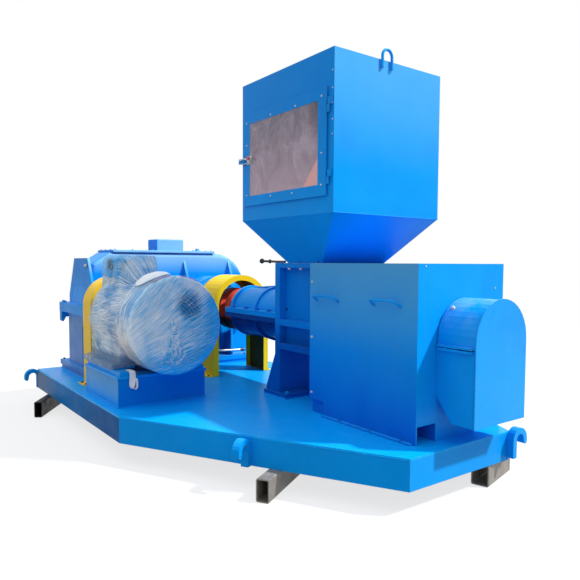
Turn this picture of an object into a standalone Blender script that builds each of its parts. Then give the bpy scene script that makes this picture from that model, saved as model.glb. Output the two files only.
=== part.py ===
"""Carbon fibre grinder on a lifting skid: hopper, split barrel, gear reducer, motor and guards.

Metres, +Z up. Plan frame while modelling: X runs to the right of the skid, Y towards its rear,
with the zero at the skid's left corner. At the end everything moves so that the origin is at
the centre of the base, on the ground.
"""
import math

import bmesh
import bpy
from mathutils import Matrix, Vector

# Clearances
GAP = 0.0003
SHAFT_END_GAP = 0.0004

# Support tubes on the ground
TUBE_HEIGHT = 0.150
TUBE_WALL = 0.008
TUBE_CORNER = 0.012
SUPPORT_TUBES = (
    # name, width, end x, end y, heading in degrees from +Y towards +X, length
    ("support_tube_left", 0.075, -0.165, 1.700, 33.5, 0.95),
    ("support_tube_middle", 0.090, 0.455, -1.220, 58.5, 1.30),
    ("support_tube_front", 0.120, 1.800, -1.835, 75.5, 0.42),
    ("support_tube_rear", 0.090, 1.500, 2.050, 118.0, 0.95),
)

# Skid
SKID_HEIGHT = 0.200
SKID_REAR = 2.396
SKID_FRONT = -1.896
SKID_NOSE_LEFT = 1.036
SKID_NOSE_RIGHT = 2.035
SKID_RIGHT = 2.300
SKID_RIGHT_CORNER_Y = -1.350
FLANGE_WIDTH = 0.075
WEB_THICKNESS = 0.010
FLANGE_THICKNESS = 0.012
DECK_THICKNESS = 0.012
CROSS_MEMBER_WIDTH = 0.075
CROSS_MEMBERS_Y = (1.10, -0.45)

# Lifting hooks
HOOK_THICKNESS = 0.055
HOOK_BAR = 0.040
HOOK_REACH = 0.160
HOOK_NOSE_DROP = 0.120
HOOK_TIP = 0.036
DIAGONAL_HOOK_SHARE = 0.487
CORNER_HOOK_INSET = 0.034
FRONT_HOOK_RISE = 0.025

# Shaft line
AXIS_HEIGHT = 0.665
MAIN_X = 1.665
INPUT_X = 0.462

# Reducer
REDUCER_LEFT = 0.265
REDUCER_RIGHT = 2.200
REDUCER_FRONT = 1.700
REDUCER_REAR = 2.150
CASE_SKIRT = 0.210
PAD_HEIGHT = 0.045
PAD_INSET = 0.012
FOOT_FLANGE = 0.050
SPLIT_FLANGE = 0.048
SPLIT_OVERHANG = 0.040
CASE_TOP = 1.240
CASE_SHOULDER_LEFT = 0.115
CASE_SHOULDER_HEIGHT = 1.120
CASE_CROWN_LEFT = 0.560
CASE_CROWN_RIGHT = 1.780
CASE_ROUND = 0.040
INTERMEDIATE_SHAFTS = ((0.735, 0.150), (1.120, 0.195))
INPUT_BOSS_RADIUS = 0.135
OUTPUT_BOSS_RADIUS = 0.325
BOSS_PROUD = 0.015
RIB_THICKNESS = 0.026
UPPER_RIBS = (0.340, 0.905, 1.385, 1.945)
TOP_COVER_LEFT = 0.585
TOP_COVER_RIGHT = 1.760
TOP_COVER_DEPTH = 0.470
TOP_COVER_THICKNESS = 0.028
CAP_LEFT = 1.110
CAP_WIDTH = 0.320
CAP_DEPTH = 0.240
CAP_HEIGHT = 0.125
CAP_ROUND = 0.012

# Motor and its stand
STAND_LEFT = 0.071
STAND_WIDTH = 0.782
STAND_FRONT = 0.224
STAND_DEPTH = 0.804
STAND_HEIGHT = 0.222
STAND_PLATE = 0.022
STAND_PLATE_OVERHANG = 0.010
RAIL_WIDTH = 0.120
RAIL_HEIGHT = 0.034
RAIL_SPREAD = 0.610
MOTOR_FRONT = 0.020
COWL_LENGTH = 0.270
COWL_RADIUS = 0.335
MOTOR_RADIUS = 0.295
MOTOR_REAR = 1.060
FIN_HEIGHT = 0.030
FIN_THICKNESS = 0.010
FIN_COUNT = 30
END_SHIELD = 0.050
MOTOR_FOOT_WIDTH = 0.110
MOTOR_FOOT_THICKNESS = 0.030
MOTOR_FOOT_LENGTH = 0.560
TERMINAL_WIDTH = 0.310
TERMINAL_DEPTH = 0.300
TERMINAL_HEIGHT = 0.170
TERMINAL_X = 0.400
TERMINAL_Y = 0.790
WRAP_THICKNESS = 0.004
WRAP_CLEARANCE = 0.030
WRAP_FRONT_BULGE = 0.035
WRAP_FRONT_SLACK = 0.025
WRAP_SAG = 0.020
WRAP_START = -88.0
WRAP_CLOSED_TO = 0.345
WRAP_OPEN_FROM = 0.385

# Couplings and guards
MOTOR_SHAFT_RADIUS = 0.050
MAIN_SHAFT_RADIUS = 0.075
COUPLING_RADIUS_IN = 0.150
COUPLING_LENGTH_IN = 0.150
COUPLING_RADIUS_OUT = 0.215
COUPLING_HUB_OUT = 0.140
COUPLING_FRONT = 0.860
COUPLING_REAR = 1.330
GUARD_SHEET = 0.006
GUARD_LIP = 0.055
INPUT_GUARD_FRONT = 1.208
INPUT_GUARD_DEPTH = 0.216
INPUT_GUARD_HALF = 0.273
INPUT_GUARD_CROWN = 0.735
OUTPUT_GUARD_FRONT = 0.915
OUTPUT_GUARD_DEPTH = 0.345
OUTPUT_GUARD_HALF = 0.325
OUTPUT_GUARD_CROWN = 0.690
OUTPUT_GUARD_X = 1.640
GUARD_FOOT = 0.060

# Split barrel
BARREL_REAR = 0.780
BARREL_RADIUS = 0.232
BARREL_FLANGE_HALF = 0.300
BARREL_FLANGE_THICKNESS = 0.045
BARREL_RING_HEIGHT = 0.018
BARREL_RING_WIDTH = 0.040
BARREL_RING_2 = 0.340
BARREL_GUSSET_THICKNESS = 0.030
BARREL_GUSSET_RISE = 0.060

# Feed chamber and pedestal
CHAMBER_HALF = 0.330
CHAMBER_REAR = -0.105
CHAMBER_PLATE = 0.065
CHAMBER_RECESS = 0.070
CHAMBER_HEIGHT = 1.140
CHAMBER_LIP = 0.040
MOUTH_WALL = 0.025
MOUTH_FLOOR = 0.800
SHELF_1_TOP = 0.665
SHELF_2_TOP = 0.465
SHELF_THICKNESS = 0.050
PEDESTAL_WAIST = 0.365
PEDESTAL_FLARE = 0.120
PEDESTAL_FLARE_HEIGHT = 0.085
PEDESTAL_FOOT = 0.040
PEDESTAL_FOOT_FRONT = -0.275
PEDESTAL_FOOT_REAR = 0.045
GATE_ROD = 0.010
GATE_REACH = 0.290
GATE_RISE = 0.006
GATE_BALL = 0.023
GATE_SMALL_BALL = 0.018
GATE_SMALL_BALL_OUT = 0.165

# Housing
HOUSING_LEFT = 1.243
HOUSING_WIDTH = 0.887
HOUSING_FRONT = -1.756
HOUSING_DEPTH = 1.062
HOUSING_HEIGHT = 1.140
DISCHARGE_WIDTH = 0.174
DISCHARGE_HEIGHT = 0.118
DISCHARGE_DEPTH = 0.420
DISCHARGE_WALL = 0.012
NOTCH_LENGTH = 0.168
NOTCH_HEIGHT = 0.108
FOOT_BLOCK_INSET = 0.030
HANDLE_ROD = 0.008
HANDLE_LENGTH = 0.236
HANDLE_REACH = 0.050
HANDLE_RISE = 0.030
HANDLE_BEND = 0.030
HANDLE_STUB = 0.012
HANDLE_HEIGHT = 0.870
HANDLE_Y = (-0.894, -1.492)

# Arched guard at the shaft's front end
ARCH_WIDTH = 0.517
ARCH_DEPTH = 0.297
ARCH_CENTRE = 0.660
ARCH_LOW_FRONT = 0.140
ARCH_LOW_BACK = 0.300
ARCH_FLOOR = 0.170
COVER_GAP = 0.006
COVER_KNUCKLE = 0.040
HINGE_STEP = 0.018
ARCH_SPLIT = 0.615
ARCH_PLATE = 0.008
ARCH_PLATE_LIP = 0.006
ARCH_FLANGE = 0.016
ARCH_FLANGE_LIP = 0.018

# Hopper
HOPPER_LEFT = 1.135
HOPPER_WIDTH = 1.103
HOPPER_FRONT = -1.078
HOPPER_DEPTH = 1.172
HOPPER_BOTTOM = 1.493
HOPPER_TOP = 2.616
HOPPER_SHEET = 0.008
HOPPER_RIM = 0.030
FUNNEL_LEFT = 1.350
FUNNEL_WIDTH = 0.665
FUNNEL_FRONT = -0.710
FUNNEL_DEPTH = 0.442
DOOR_MARGIN_FRONT = 0.065
DOOR_MARGIN_REAR = 0.041
DOOR_MARGIN_BOTTOM = 0.119
DOOR_MARGIN_TOP = 0.256
DOOR_SHEET = 0.010
DOOR_STAND_OFF = 0.006
DOOR_WINDOW_MARGIN_SIDE = 0.090
DOOR_WINDOW_MARGIN_END = 0.080
GLASS_THICKNESS = 0.006
HINGE_RADIUS = 0.008
HINGE_LENGTH = 0.100
HINGE_OFFSET = 0.020
HINGE_FROM_DOOR_END = 0.128
LOOP_ROD = 0.011
LOOP_WIDTH = 0.097
LOOP_RISE = 0.075
LOOP_LEG = 0.060

DECK = TUBE_HEIGHT + SKID_HEIGHT
AXIS_Z = DECK + AXIS_HEIGHT

BLUE = (0.010, 0.240, 0.700)
DEEP_BLUE = (0.008, 0.180, 0.560)


def clear_scene():
    for obj in list(bpy.data.objects):
        bpy.data.objects.remove(obj, do_unlink=True)


def make_collection(name):
    group = bpy.data.collections.new(name)
    bpy.context.scene.collection.children.link(group)
    return group


def make_material(name, colour, roughness, metallic=0.0, alpha=1.0):
    mat = bpy.data.materials.new(name)
    mat.use_nodes = True
    shader = mat.node_tree.nodes["Principled BSDF"]
    shader.inputs["Base Color"].default_value = (*colour, 1.0)
    shader.inputs["Roughness"].default_value = roughness
    shader.inputs["Metallic"].default_value = metallic
    shader.inputs["Alpha"].default_value = alpha
    mat.diffuse_color = (*colour, alpha)
    return mat


# Mesh helpers

def place_mesh(name, bm, mat, location=(0.0, 0.0, 0.0)):
    """Turns a bmesh into a named object of the part's collection."""
    bmesh.ops.recalc_face_normals(bm, faces=bm.faces)
    mesh = bpy.data.meshes.new(name)
    bm.to_mesh(mesh)
    bm.free()
    obj = bpy.data.objects.new(name, mesh)
    obj.location = location
    PARTS.objects.link(obj)
    if mat is not None:
        mesh.materials.append(mat)
    return obj


def box(name, low, high, mat, bevel=0.0, segments=2):
    """A block between two corners, with optional rounded edges."""
    size = [high[i] - low[i] for i in range(3)]
    centre = [(high[i] + low[i]) / 2 for i in range(3)]
    bm = bmesh.new()
    bmesh.ops.create_cube(bm, size=1.0)
    bmesh.ops.scale(bm, vec=size, verts=bm.verts)
    obj = place_mesh(name, bm, mat, centre)
    if bevel > 0:
        round_edges(obj, bevel, segments)
    return obj


def round_edges(obj, width, segments=2, angle=40.0):
    mod = obj.modifiers.new("round", "BEVEL")
    mod.width = width
    mod.segments = segments
    mod.limit_method = "ANGLE"
    mod.angle_limit = math.radians(angle)
    return mod


def cylinder(name, radius, start, end, mat, segments=32):
    """A round bar between two points."""
    start = Vector(start)
    run = Vector(end) - start
    bm = bmesh.new()
    bmesh.ops.create_cone(
        bm, cap_ends=True, segments=segments, radius1=radius, radius2=radius, depth=run.length
    )
    half_step = Matrix.Rotation(math.pi / segments, 3, "Z")
    bmesh.ops.rotate(bm, cent=(0.0, 0.0, 0.0), matrix=half_step, verts=bm.verts)
    obj = place_mesh(name, bm, mat, start + run / 2)
    obj.rotation_euler = run.to_track_quat("Z", "Y").to_euler()
    obj.data.shade_smooth()
    obj.data.set_sharp_from_angle(angle=math.radians(35))
    return obj


def arc(cx, cy, radius, start, end, steps):
    """Points along an arc, angles in degrees."""
    points = []
    for i in range(steps + 1):
        a = math.radians(start + (end - start) * i / steps)
        points.append((cx + radius * math.cos(a), cy + radius * math.sin(a)))
    return points


PLANES = {
    # plane name: matrix that takes the outline's x, y and the run's direction into the world
    "XY": Matrix(((1, 0, 0), (0, 1, 0), (0, 0, 1))),
    "XZ": Matrix(((1, 0, 0), (0, 0, -1), (0, 1, 0))),
    "YZ": Matrix(((0, 0, 1), (1, 0, 0), (0, 1, 0))),
}


def prism(name, outlines, plane, low, high, mat):
    """A flat outline, with further outlines as holes, run between two levels across its plane."""
    curve = bpy.data.curves.new(name, "CURVE")
    curve.dimensions = "2D"
    curve.fill_mode = "BOTH"
    curve.extrude = (high - low) / 2
    for outline in outlines:
        spline = curve.splines.new("POLY")
        spline.points.add(len(outline) - 1)
        for point, (u, v) in zip(spline.points, outline):
            point.co = (u, v, 0.0, 1.0)
        spline.use_cyclic_u = True
    matrix = PLANES[plane].to_4x4()
    middle = (low + high) / 2
    if plane == "XZ":
        middle = -middle
    matrix = matrix @ Matrix.Translation((0.0, 0.0, middle))
    return curve_to_mesh(name, curve, matrix, mat)


def curve_to_mesh(name, curve, matrix, mat, merge=0.00001):
    """Makes a curve a closed mesh object, with its caps welded."""
    guide = bpy.data.objects.new(name + "_guide", curve)
    PARTS.objects.link(guide)
    guide.matrix_world = matrix
    bpy.context.view_layer.update()
    evaluated = guide.evaluated_get(bpy.context.evaluated_depsgraph_get())
    mesh = bpy.data.meshes.new_from_object(evaluated)
    bpy.data.objects.remove(guide, do_unlink=True)
    bpy.data.curves.remove(curve)
    bm = bmesh.new()
    bm.from_mesh(mesh)
    bpy.data.meshes.remove(mesh)
    bmesh.ops.remove_doubles(bm, verts=bm.verts, dist=merge)
    obj = place_mesh(name, bm, mat)
    obj.matrix_world = matrix
    return obj


def rod(name, points, radius, mat, resolution=3, smooth=False):
    """A bent round bar through points."""
    curve = bpy.data.curves.new(name, "CURVE")
    curve.dimensions = "3D"
    curve.bevel_depth = radius
    curve.bevel_resolution = resolution
    curve.use_fill_caps = True
    spline = curve.splines.new("POLY")
    spline.points.add(len(points) - 1)
    for point, co in zip(spline.points, points):
        point.co = (*co, 1.0)
    obj = curve_to_mesh(name, curve, Matrix.Identity(4), mat)
    obj.data.shade_smooth()
    return obj


def helper(obj):
    """Moves an object to the cutters, where it only shapes other pieces."""
    PARTS.objects.unlink(obj)
    CUTTERS.objects.link(obj)
    obj.hide_render = True
    obj.display_type = "WIRE"
    return obj


def boolean(target, other, operation):
    mod = target.modifiers.new(operation.lower(), "BOOLEAN")
    mod.operation = operation
    mod.solver = "EXACT"
    mod.object = helper(other)
    return target


def join(target, *others):
    for other in others:
        boolean(target, other, "UNION")
    return target


def cut(target, *others):
    for other in others:
        boolean(target, other, "DIFFERENCE")
    return target


def turned(name, profile, centre_x, mat, segments=48):
    """A turned piece about a line along Y at the shaft height.

    The profile lists radius and Y pairs along the outer side.
    """
    bm = bmesh.new()
    verts = [bm.verts.new((r, 0.0, -y)) for r, y in reversed(profile)]
    for a, b in zip(verts, verts[1:]):
        bm.edges.new((a, b))
    mesh = bpy.data.meshes.new(name)
    bm.to_mesh(mesh)
    bm.free()
    obj = bpy.data.objects.new(name, mesh)
    PARTS.objects.link(obj)
    if mat is not None:
        mesh.materials.append(mat)
    screw = obj.modifiers.new("turn", "SCREW")
    screw.angle = math.radians(360)
    screw.steps = segments
    screw.render_steps = segments
    screw.use_merge_vertices = True
    screw.merge_threshold = 0.00005
    obj.location = (centre_x, 0.0, AXIS_Z)
    obj.rotation_euler = (math.radians(90), 0.0, 0.0)
    return obj


# Skid

def skid_corners():
    return [
        (0.0, 0.0),
        (SKID_NOSE_LEFT, SKID_FRONT),
        (SKID_NOSE_RIGHT, SKID_FRONT),
        (SKID_RIGHT, SKID_RIGHT_CORNER_Y),
        (SKID_RIGHT, SKID_REAR),
        (0.0, SKID_REAR),
    ]


def inset_corners(corners, distance):
    """The corners of a polygon that runs counter-clockwise, moved inwards by a distance."""
    count = len(corners)
    result = []
    for i in range(count):
        here = Vector(corners[i])
        before = (here - Vector(corners[i - 1])).normalized()
        after = (Vector(corners[(i + 1) % count]) - here).normalized()
        n1 = Vector((-before.y, before.x))
        n2 = Vector((-after.y, after.x))
        bisector = (n1 + n2).normalized()
        reach = distance / bisector.dot(n1)
        result.append(tuple(here + bisector * reach))
    return result


def build_skid(paint):
    corners = skid_corners()
    inner = inset_corners(corners, FLANGE_WIDTH)
    web = inset_corners(corners, WEB_THICKNESS)
    deeper = inset_corners(corners, FLANGE_WIDTH * 2)
    members = (
        # name, corners that it joins
        ("skid_diagonal", (0, 1)), ("skid_front", (1, 2, 3)), ("skid_right", (3, 4)),
        ("skid_rear", (4, 5)), ("skid_left", (5, 0)),
    )
    top = DECK - DECK_THICKNESS - GAP
    for name, run in members:
        outline = shorten_ends([corners[i] for i in run] + [inner[i] for i in reversed(run)])
        member = prism(name, [outline], "XY", TUBE_HEIGHT + GAP, top, paint)
        hollow = [web[i] for i in run] + [deeper[i] for i in reversed(run)]
        cut(member, prism(
            name + "_pocket", [hollow], "XY",
            TUBE_HEIGHT + FLANGE_THICKNESS, top - FLANGE_THICKNESS, None,
        ))
    prism("deck_plate", [corners], "XY", DECK - DECK_THICKNESS, DECK, paint)
    for i, y in enumerate(CROSS_MEMBERS_Y):
        build_cross_member(f"cross_member_{i + 1}", y, top, paint)


def shorten_ends(outline):
    """Leaves a hairline joint between neighbouring skid members."""
    points = [Vector(p) for p in outline]
    half = len(points) // 2
    first = (points[1] - points[0]).normalized() * GAP
    last = (points[half - 1] - points[half - 2]).normalized() * GAP
    points[0] += first
    points[-1] += first
    points[half - 1] -= last
    points[half] -= last
    return [tuple(p) for p in points]


def build_cross_member(name, y, top, paint):
    slant = Vector((SKID_NOSE_LEFT, SKID_FRONT)).normalized() if y < 0 else Vector((0.0, -1.0))
    left = skid_left_at(y - CROSS_MEMBER_WIDTH / 2) + FLANGE_WIDTH / -slant.y + 2 * GAP
    right = SKID_RIGHT - FLANGE_WIDTH - GAP
    low = TUBE_HEIGHT + GAP
    web = WEB_THICKNESS / 2
    half = CROSS_MEMBER_WIDTH / 2
    outline = [
        (y - half, low), (y + half, low), (y + half, low + FLANGE_THICKNESS),
        (y + web, low + FLANGE_THICKNESS), (y + web, top - FLANGE_THICKNESS),
        (y + half, top - FLANGE_THICKNESS), (y + half, top), (y - half, top),
        (y - half, top - FLANGE_THICKNESS), (y - web, top - FLANGE_THICKNESS),
        (y - web, low + FLANGE_THICKNESS), (y - half, low + FLANGE_THICKNESS),
    ]
    prism(name, [outline], "YZ", left, right, paint)


def skid_left_at(y):
    """X of the skid's left side or diagonal at a given Y."""
    if y >= 0:
        return 0.0
    return SKID_NOSE_LEFT * y / SKID_FRONT


def hook_outline():
    """An upside-down J: the bar at u = 0, the nose at u = reach. Heights run up to zero."""
    outer = HOOK_REACH / 2
    inner = outer - HOOK_BAR
    height = SKID_HEIGHT
    points = [(0.0, -height), (0.0, -outer)]
    points += arc(outer, -outer, outer, 180, 0, 10)[1:]
    points += [(HOOK_REACH, -HOOK_NOSE_DROP + HOOK_TIP / 2)]
    points += arc(HOOK_REACH - HOOK_TIP / 2, -HOOK_NOSE_DROP + HOOK_TIP / 2, HOOK_TIP / 2, 0, -180, 4)[1:]
    points += arc(outer, -outer, inner, 0, 180, 8)
    points += [(HOOK_BAR, -height)]
    return points


def build_hooks(paint):
    """Lifting hooks welded to the corners and to the diagonal sides."""
    diagonal = Vector((SKID_NOSE_LEFT, SKID_FRONT)).normalized()
    outward = Vector((diagonal.y, -diagonal.x))
    spot = Vector((SKID_NOSE_LEFT, SKID_FRONT)) * DIAGONAL_HOOK_SHARE
    spot += outward * GAP
    gap = GAP
    rise = FRONT_HOOK_RISE
    inset = CORNER_HOOK_INSET
    hooks = (
        # name, point of the bar's outer foot, height above the deck, direction of the nose,
        # side that the thickness runs to
        ("lifting_hook_front", (SKID_NOSE_RIGHT - inset, SKID_FRONT - gap), rise, (1, 0), (0, -1)),
        ("lifting_hook_rear_left", (inset, SKID_REAR + gap), 0.0, (-1, 0), (0, 1)),
        ("lifting_hook_rear_right", (SKID_RIGHT - inset, SKID_REAR + gap), 0.0, (1, 0), (0, 1)),
        ("lifting_hook_diagonal", tuple(spot), 0.0, tuple(outward), tuple(diagonal)),
    )
    for name, foot, lift, nose, side in hooks:
        hook = prism(name, [hook_outline()], "XY", 0.0, HOOK_THICKNESS, paint)
        matrix = Matrix.Identity(4)
        matrix.col[0] = (nose[0], nose[1], 0.0, 0.0)
        matrix.col[1] = (0.0, 0.0, 1.0, 0.0)
        matrix.col[2] = (side[0], side[1], 0.0, 0.0)
        matrix.col[3] = (foot[0], foot[1], DECK + lift, 1.0)
        bake_matrix(hook, matrix)


def bake_matrix(obj, matrix):
    """Puts a placing matrix into the mesh, so that a mirrored one keeps its faces outwards."""
    obj.data.transform(matrix @ obj.matrix_world)
    obj.matrix_world = Matrix.Identity(4)
    bm = bmesh.new()
    bm.from_mesh(obj.data)
    bmesh.ops.recalc_face_normals(bm, faces=bm.faces)
    bm.to_mesh(obj.data)
    bm.free()


def rounded_rectangle(half_width, half_height, radius, steps=3):
    points = []
    for sx, sy, start in ((1, 1, 0), (-1, 1, 90), (-1, -1, 180), (1, -1, 270)):
        cx = sx * (half_width - radius)
        cy = sy * (half_height - radius)
        points += arc(cx, cy, radius, start, start + 90, steps)
    return points


def build_support_tubes(steel):
    """Loose rectangular tubes on edge, which hold the skid off the ground."""
    for name, width, x, y, heading, length in SUPPORT_TUBES:
        outer = rounded_rectangle(width / 2, TUBE_HEIGHT / 2, TUBE_CORNER)
        inner = rounded_rectangle(
            width / 2 - TUBE_WALL, TUBE_HEIGHT / 2 - TUBE_WALL, TUBE_CORNER - TUBE_WALL + 0.002
        )
        tube = prism(name, [outer, inner], "XZ", 0.0, length, steel)
        turn = Matrix.Rotation(-math.radians(heading), 4, "Z")
        spot = Matrix.Translation((x, y, TUBE_HEIGHT / 2))
        tube.matrix_world = spot @ turn @ tube.matrix_world


def loft(name, sections, mat):
    """A closed body through level outlines of equal length, each with its points in space."""
    bm = bmesh.new()
    loops = [[bm.verts.new(point) for point in section] for section in sections]
    count = len(loops[0])
    for ring, following in zip(loops, loops[1:]):
        for k in range(count):
            bm.faces.new((ring[k], ring[(k + 1) % count], following[(k + 1) % count], following[k]))
    bm.faces.new(reversed(loops[0]))
    bm.faces.new(loops[-1])
    return place_mesh(name, bm, mat)


def soft_prism(name, outline, front, back, radius, mat):
    """An outline run along Y, with its front and back edges rounded over."""
    steps = []
    for degrees in (90, 60, 30, 0):
        a = math.radians(degrees)
        steps.append((radius * (1 - math.cos(a)), radius * (1 - math.sin(a))))
    stations = [(inset, front + depth) for inset, depth in steps]
    stations += [(inset, back - depth) for inset, depth in reversed(steps)]
    sections = []
    for inset, y in stations:
        sections.append([(x, y, z) for x, z in inset_corners(outline, inset)])
    return loft(name, sections, mat)


# Reducer

def case_outline(base):
    """Front view of the upper case: sloped left end, flat crown and rounded right end."""
    shoulder = REDUCER_LEFT + CASE_SHOULDER_LEFT
    top = DECK + CASE_TOP
    points = [(REDUCER_LEFT, base), (REDUCER_RIGHT, base)]
    rise = top - AXIS_Z
    run = REDUCER_RIGHT - CASE_CROWN_RIGHT
    for i in range(1, 9):
        a = math.radians(90 * i / 8)
        points.append((CASE_CROWN_RIGHT + run * math.cos(a) ** 0.9, AXIS_Z + rise * math.sin(a) ** 0.9))
    points += [
        (CASE_CROWN_LEFT, top),
        (shoulder + 0.03, DECK + CASE_SHOULDER_HEIGHT + 0.025),
        (shoulder, DECK + CASE_SHOULDER_HEIGHT),
        (shoulder - 0.03, DECK + CASE_SHOULDER_HEIGHT - 0.13),
    ]
    return points


def shafts():
    """Centre and boss radius of each shaft of the reducer."""
    return ((INPUT_X, INPUT_BOSS_RADIUS), *INTERMEDIATE_SHAFTS, (MAIN_X, OUTPUT_BOSS_RADIUS))


def boss_front():
    return REDUCER_FRONT - CASE_SKIRT


def boss_back():
    return REDUCER_REAR + CASE_SKIRT


def case_front():
    return boss_front() + BOSS_PROUD


def case_back():
    return boss_back() - BOSS_PROUD


def build_reducer(paint):
    """Cast gear case in two halves, with bearing bosses, ribs, lugs, cover and breather."""
    low = DECK + PAD_HEIGHT + GAP
    left = REDUCER_LEFT - SPLIT_OVERHANG
    right = REDUCER_RIGHT + SPLIT_OVERHANG
    front = case_front()
    back = case_back()
    past = 0.05

    lower = box(
        "reducer_lower_case",
        (REDUCER_LEFT, REDUCER_FRONT, low + FOOT_FLANGE / 4), (REDUCER_RIGHT, REDUCER_REAR, AXIS_Z + past),
        paint,
    )
    join(lower, box("foot", (left, front, low), (right, back, low + FOOT_FLANGE), None))
    pad = PAD_INSET
    join(lower, box(
        "pad", (left + pad, front + pad, DECK + GAP), (right - pad, back - pad, low + FOOT_FLANGE / 2), None,
    ))
    join(lower, box("rim", (left, front, AXIS_Z - SPLIT_FLANGE), (right, back, AXIS_Z + past / 2), None))
    for i, (x, radius) in enumerate(shafts()):
        join(lower, boss(f"lower_boss_{i}", x, radius))
        for side in (-1, 1):
            join(lower, boss_leg(f"leg_{i}_{side}", x + side * radius * 0.7, low + FOOT_FLANGE / 2))
    for i, y in enumerate((front + 0.01, back - 0.08)):
        join(lower, lifting_lug(f"lug_{i}", left, y))
    cut(lower, case_half("above", AXIS_Z - GAP / 2, AXIS_Z + 1.0))

    upper = soft_prism(
        "reducer_upper_case", case_outline(AXIS_Z - past), REDUCER_FRONT, REDUCER_REAR, CASE_ROUND, paint
    )
    join(upper, box("rim", (left, front, AXIS_Z - past / 2), (right, back, AXIS_Z + SPLIT_FLANGE), None))
    for i, (x, radius) in enumerate(shafts()):
        join(upper, boss(f"upper_boss_{i}", x, radius))
    for i, x in enumerate(UPPER_RIBS):
        join(upper, boss_rib(f"rib_{i}", x))
    cut(upper, case_half("below", AXIS_Z - 1.0, AXIS_Z + GAP / 2))

    top = DECK + CASE_TOP
    middle = (REDUCER_FRONT + REDUCER_REAR) / 2
    cover = box(
        "reducer_top_cover",
        (TOP_COVER_LEFT, middle - TOP_COVER_DEPTH / 2, top + GAP),
        (TOP_COVER_RIGHT, middle + TOP_COVER_DEPTH / 2, top + TOP_COVER_THICKNESS),
        paint, 0.005, 1,
    )
    cap = box(
        "breather_cap",
        (CAP_LEFT, middle - CAP_DEPTH / 2, top + TOP_COVER_THICKNESS / 2),
        (CAP_LEFT + CAP_WIDTH, middle + CAP_DEPTH / 2, top + TOP_COVER_THICKNESS + CAP_HEIGHT),
        None, CAP_ROUND, 3,
    )
    join(cover, cap)


def boss(name, x, radius):
    """Bearing housing across the case."""
    return cylinder(name, radius, (x, boss_front(), AXIS_Z), (x, boss_back(), AXIS_Z), None, 40)


def case_half(name, low, high):
    """What is cut away on one side of the case's split."""
    return box(name, (0.0, boss_front() - 0.2, low), (SKID_RIGHT + 0.5, boss_back() + 0.2, high), None)


def boss_leg(name, x, low):
    """Rib below a bearing housing, down to the foot flange."""
    half = RIB_THICKNESS / 2
    inset = 0.03
    return box(
        name, (x - half, case_front() + inset, low), (x + half, case_back() - inset, AXIS_Z - SPLIT_FLANGE / 2),
        None,
    )


def boss_rib(name, x):
    """Tapered rib above the split flange, on the front and the back of the case."""
    low = AXIS_Z + SPLIT_FLANGE / 2
    high = DECK + CASE_TOP - CASE_ROUND * 1.5
    front = case_front() + 0.02
    back = case_back() - 0.02
    outline = [(front, low), (back, low), (back, low + 0.10)]
    outline += [(REDUCER_REAR - 0.01, high), (REDUCER_FRONT + 0.01, high), (front, low + 0.10)]
    half = RIB_THICKNESS / 2
    return prism(name, [outline], "YZ", x - half, x + half, None)


def lifting_lug(name, x, y):
    """Cast hook under the end of the split flange."""
    top = AXIS_Z - SPLIT_FLANGE / 2
    outline = [(x, top), (x, top - 0.125), (x + 0.016, top - 0.135), (x + 0.030, top - 0.115)]
    outline += [(x + 0.044, top - 0.085), (x + 0.075, top - 0.085), (x + 0.075, top)]
    return prism(name, [outline], "XZ", y, y + 0.07, None)


# Motor

def build_motor_stand(paint):
    left, right = STAND_LEFT, STAND_LEFT + STAND_WIDTH
    front, back = STAND_FRONT, STAND_FRONT + STAND_DEPTH
    top = DECK + STAND_HEIGHT
    inset = STAND_PLATE_OVERHANG
    box("motor_stand", (left + inset, front + inset, DECK + GAP), (right - inset, back - inset, top), paint, 0.004, 1)
    plate = box("motor_rails", (left, front, top + GAP), (right, back, top + STAND_PLATE), paint, 0.003, 1)
    for side in (-1, 1):
        x = INPUT_X + side * RAIL_SPREAD / 2
        join(plate, box(
            f"rail_{side}",
            (x - RAIL_WIDTH / 2, front + 0.012, top + STAND_PLATE / 2),
            (x + RAIL_WIDTH / 2, back - 0.012, top + STAND_PLATE + RAIL_HEIGHT),
            None,
        ))


def rail_top():
    return DECK + STAND_HEIGHT + STAND_PLATE + RAIL_HEIGHT


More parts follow.
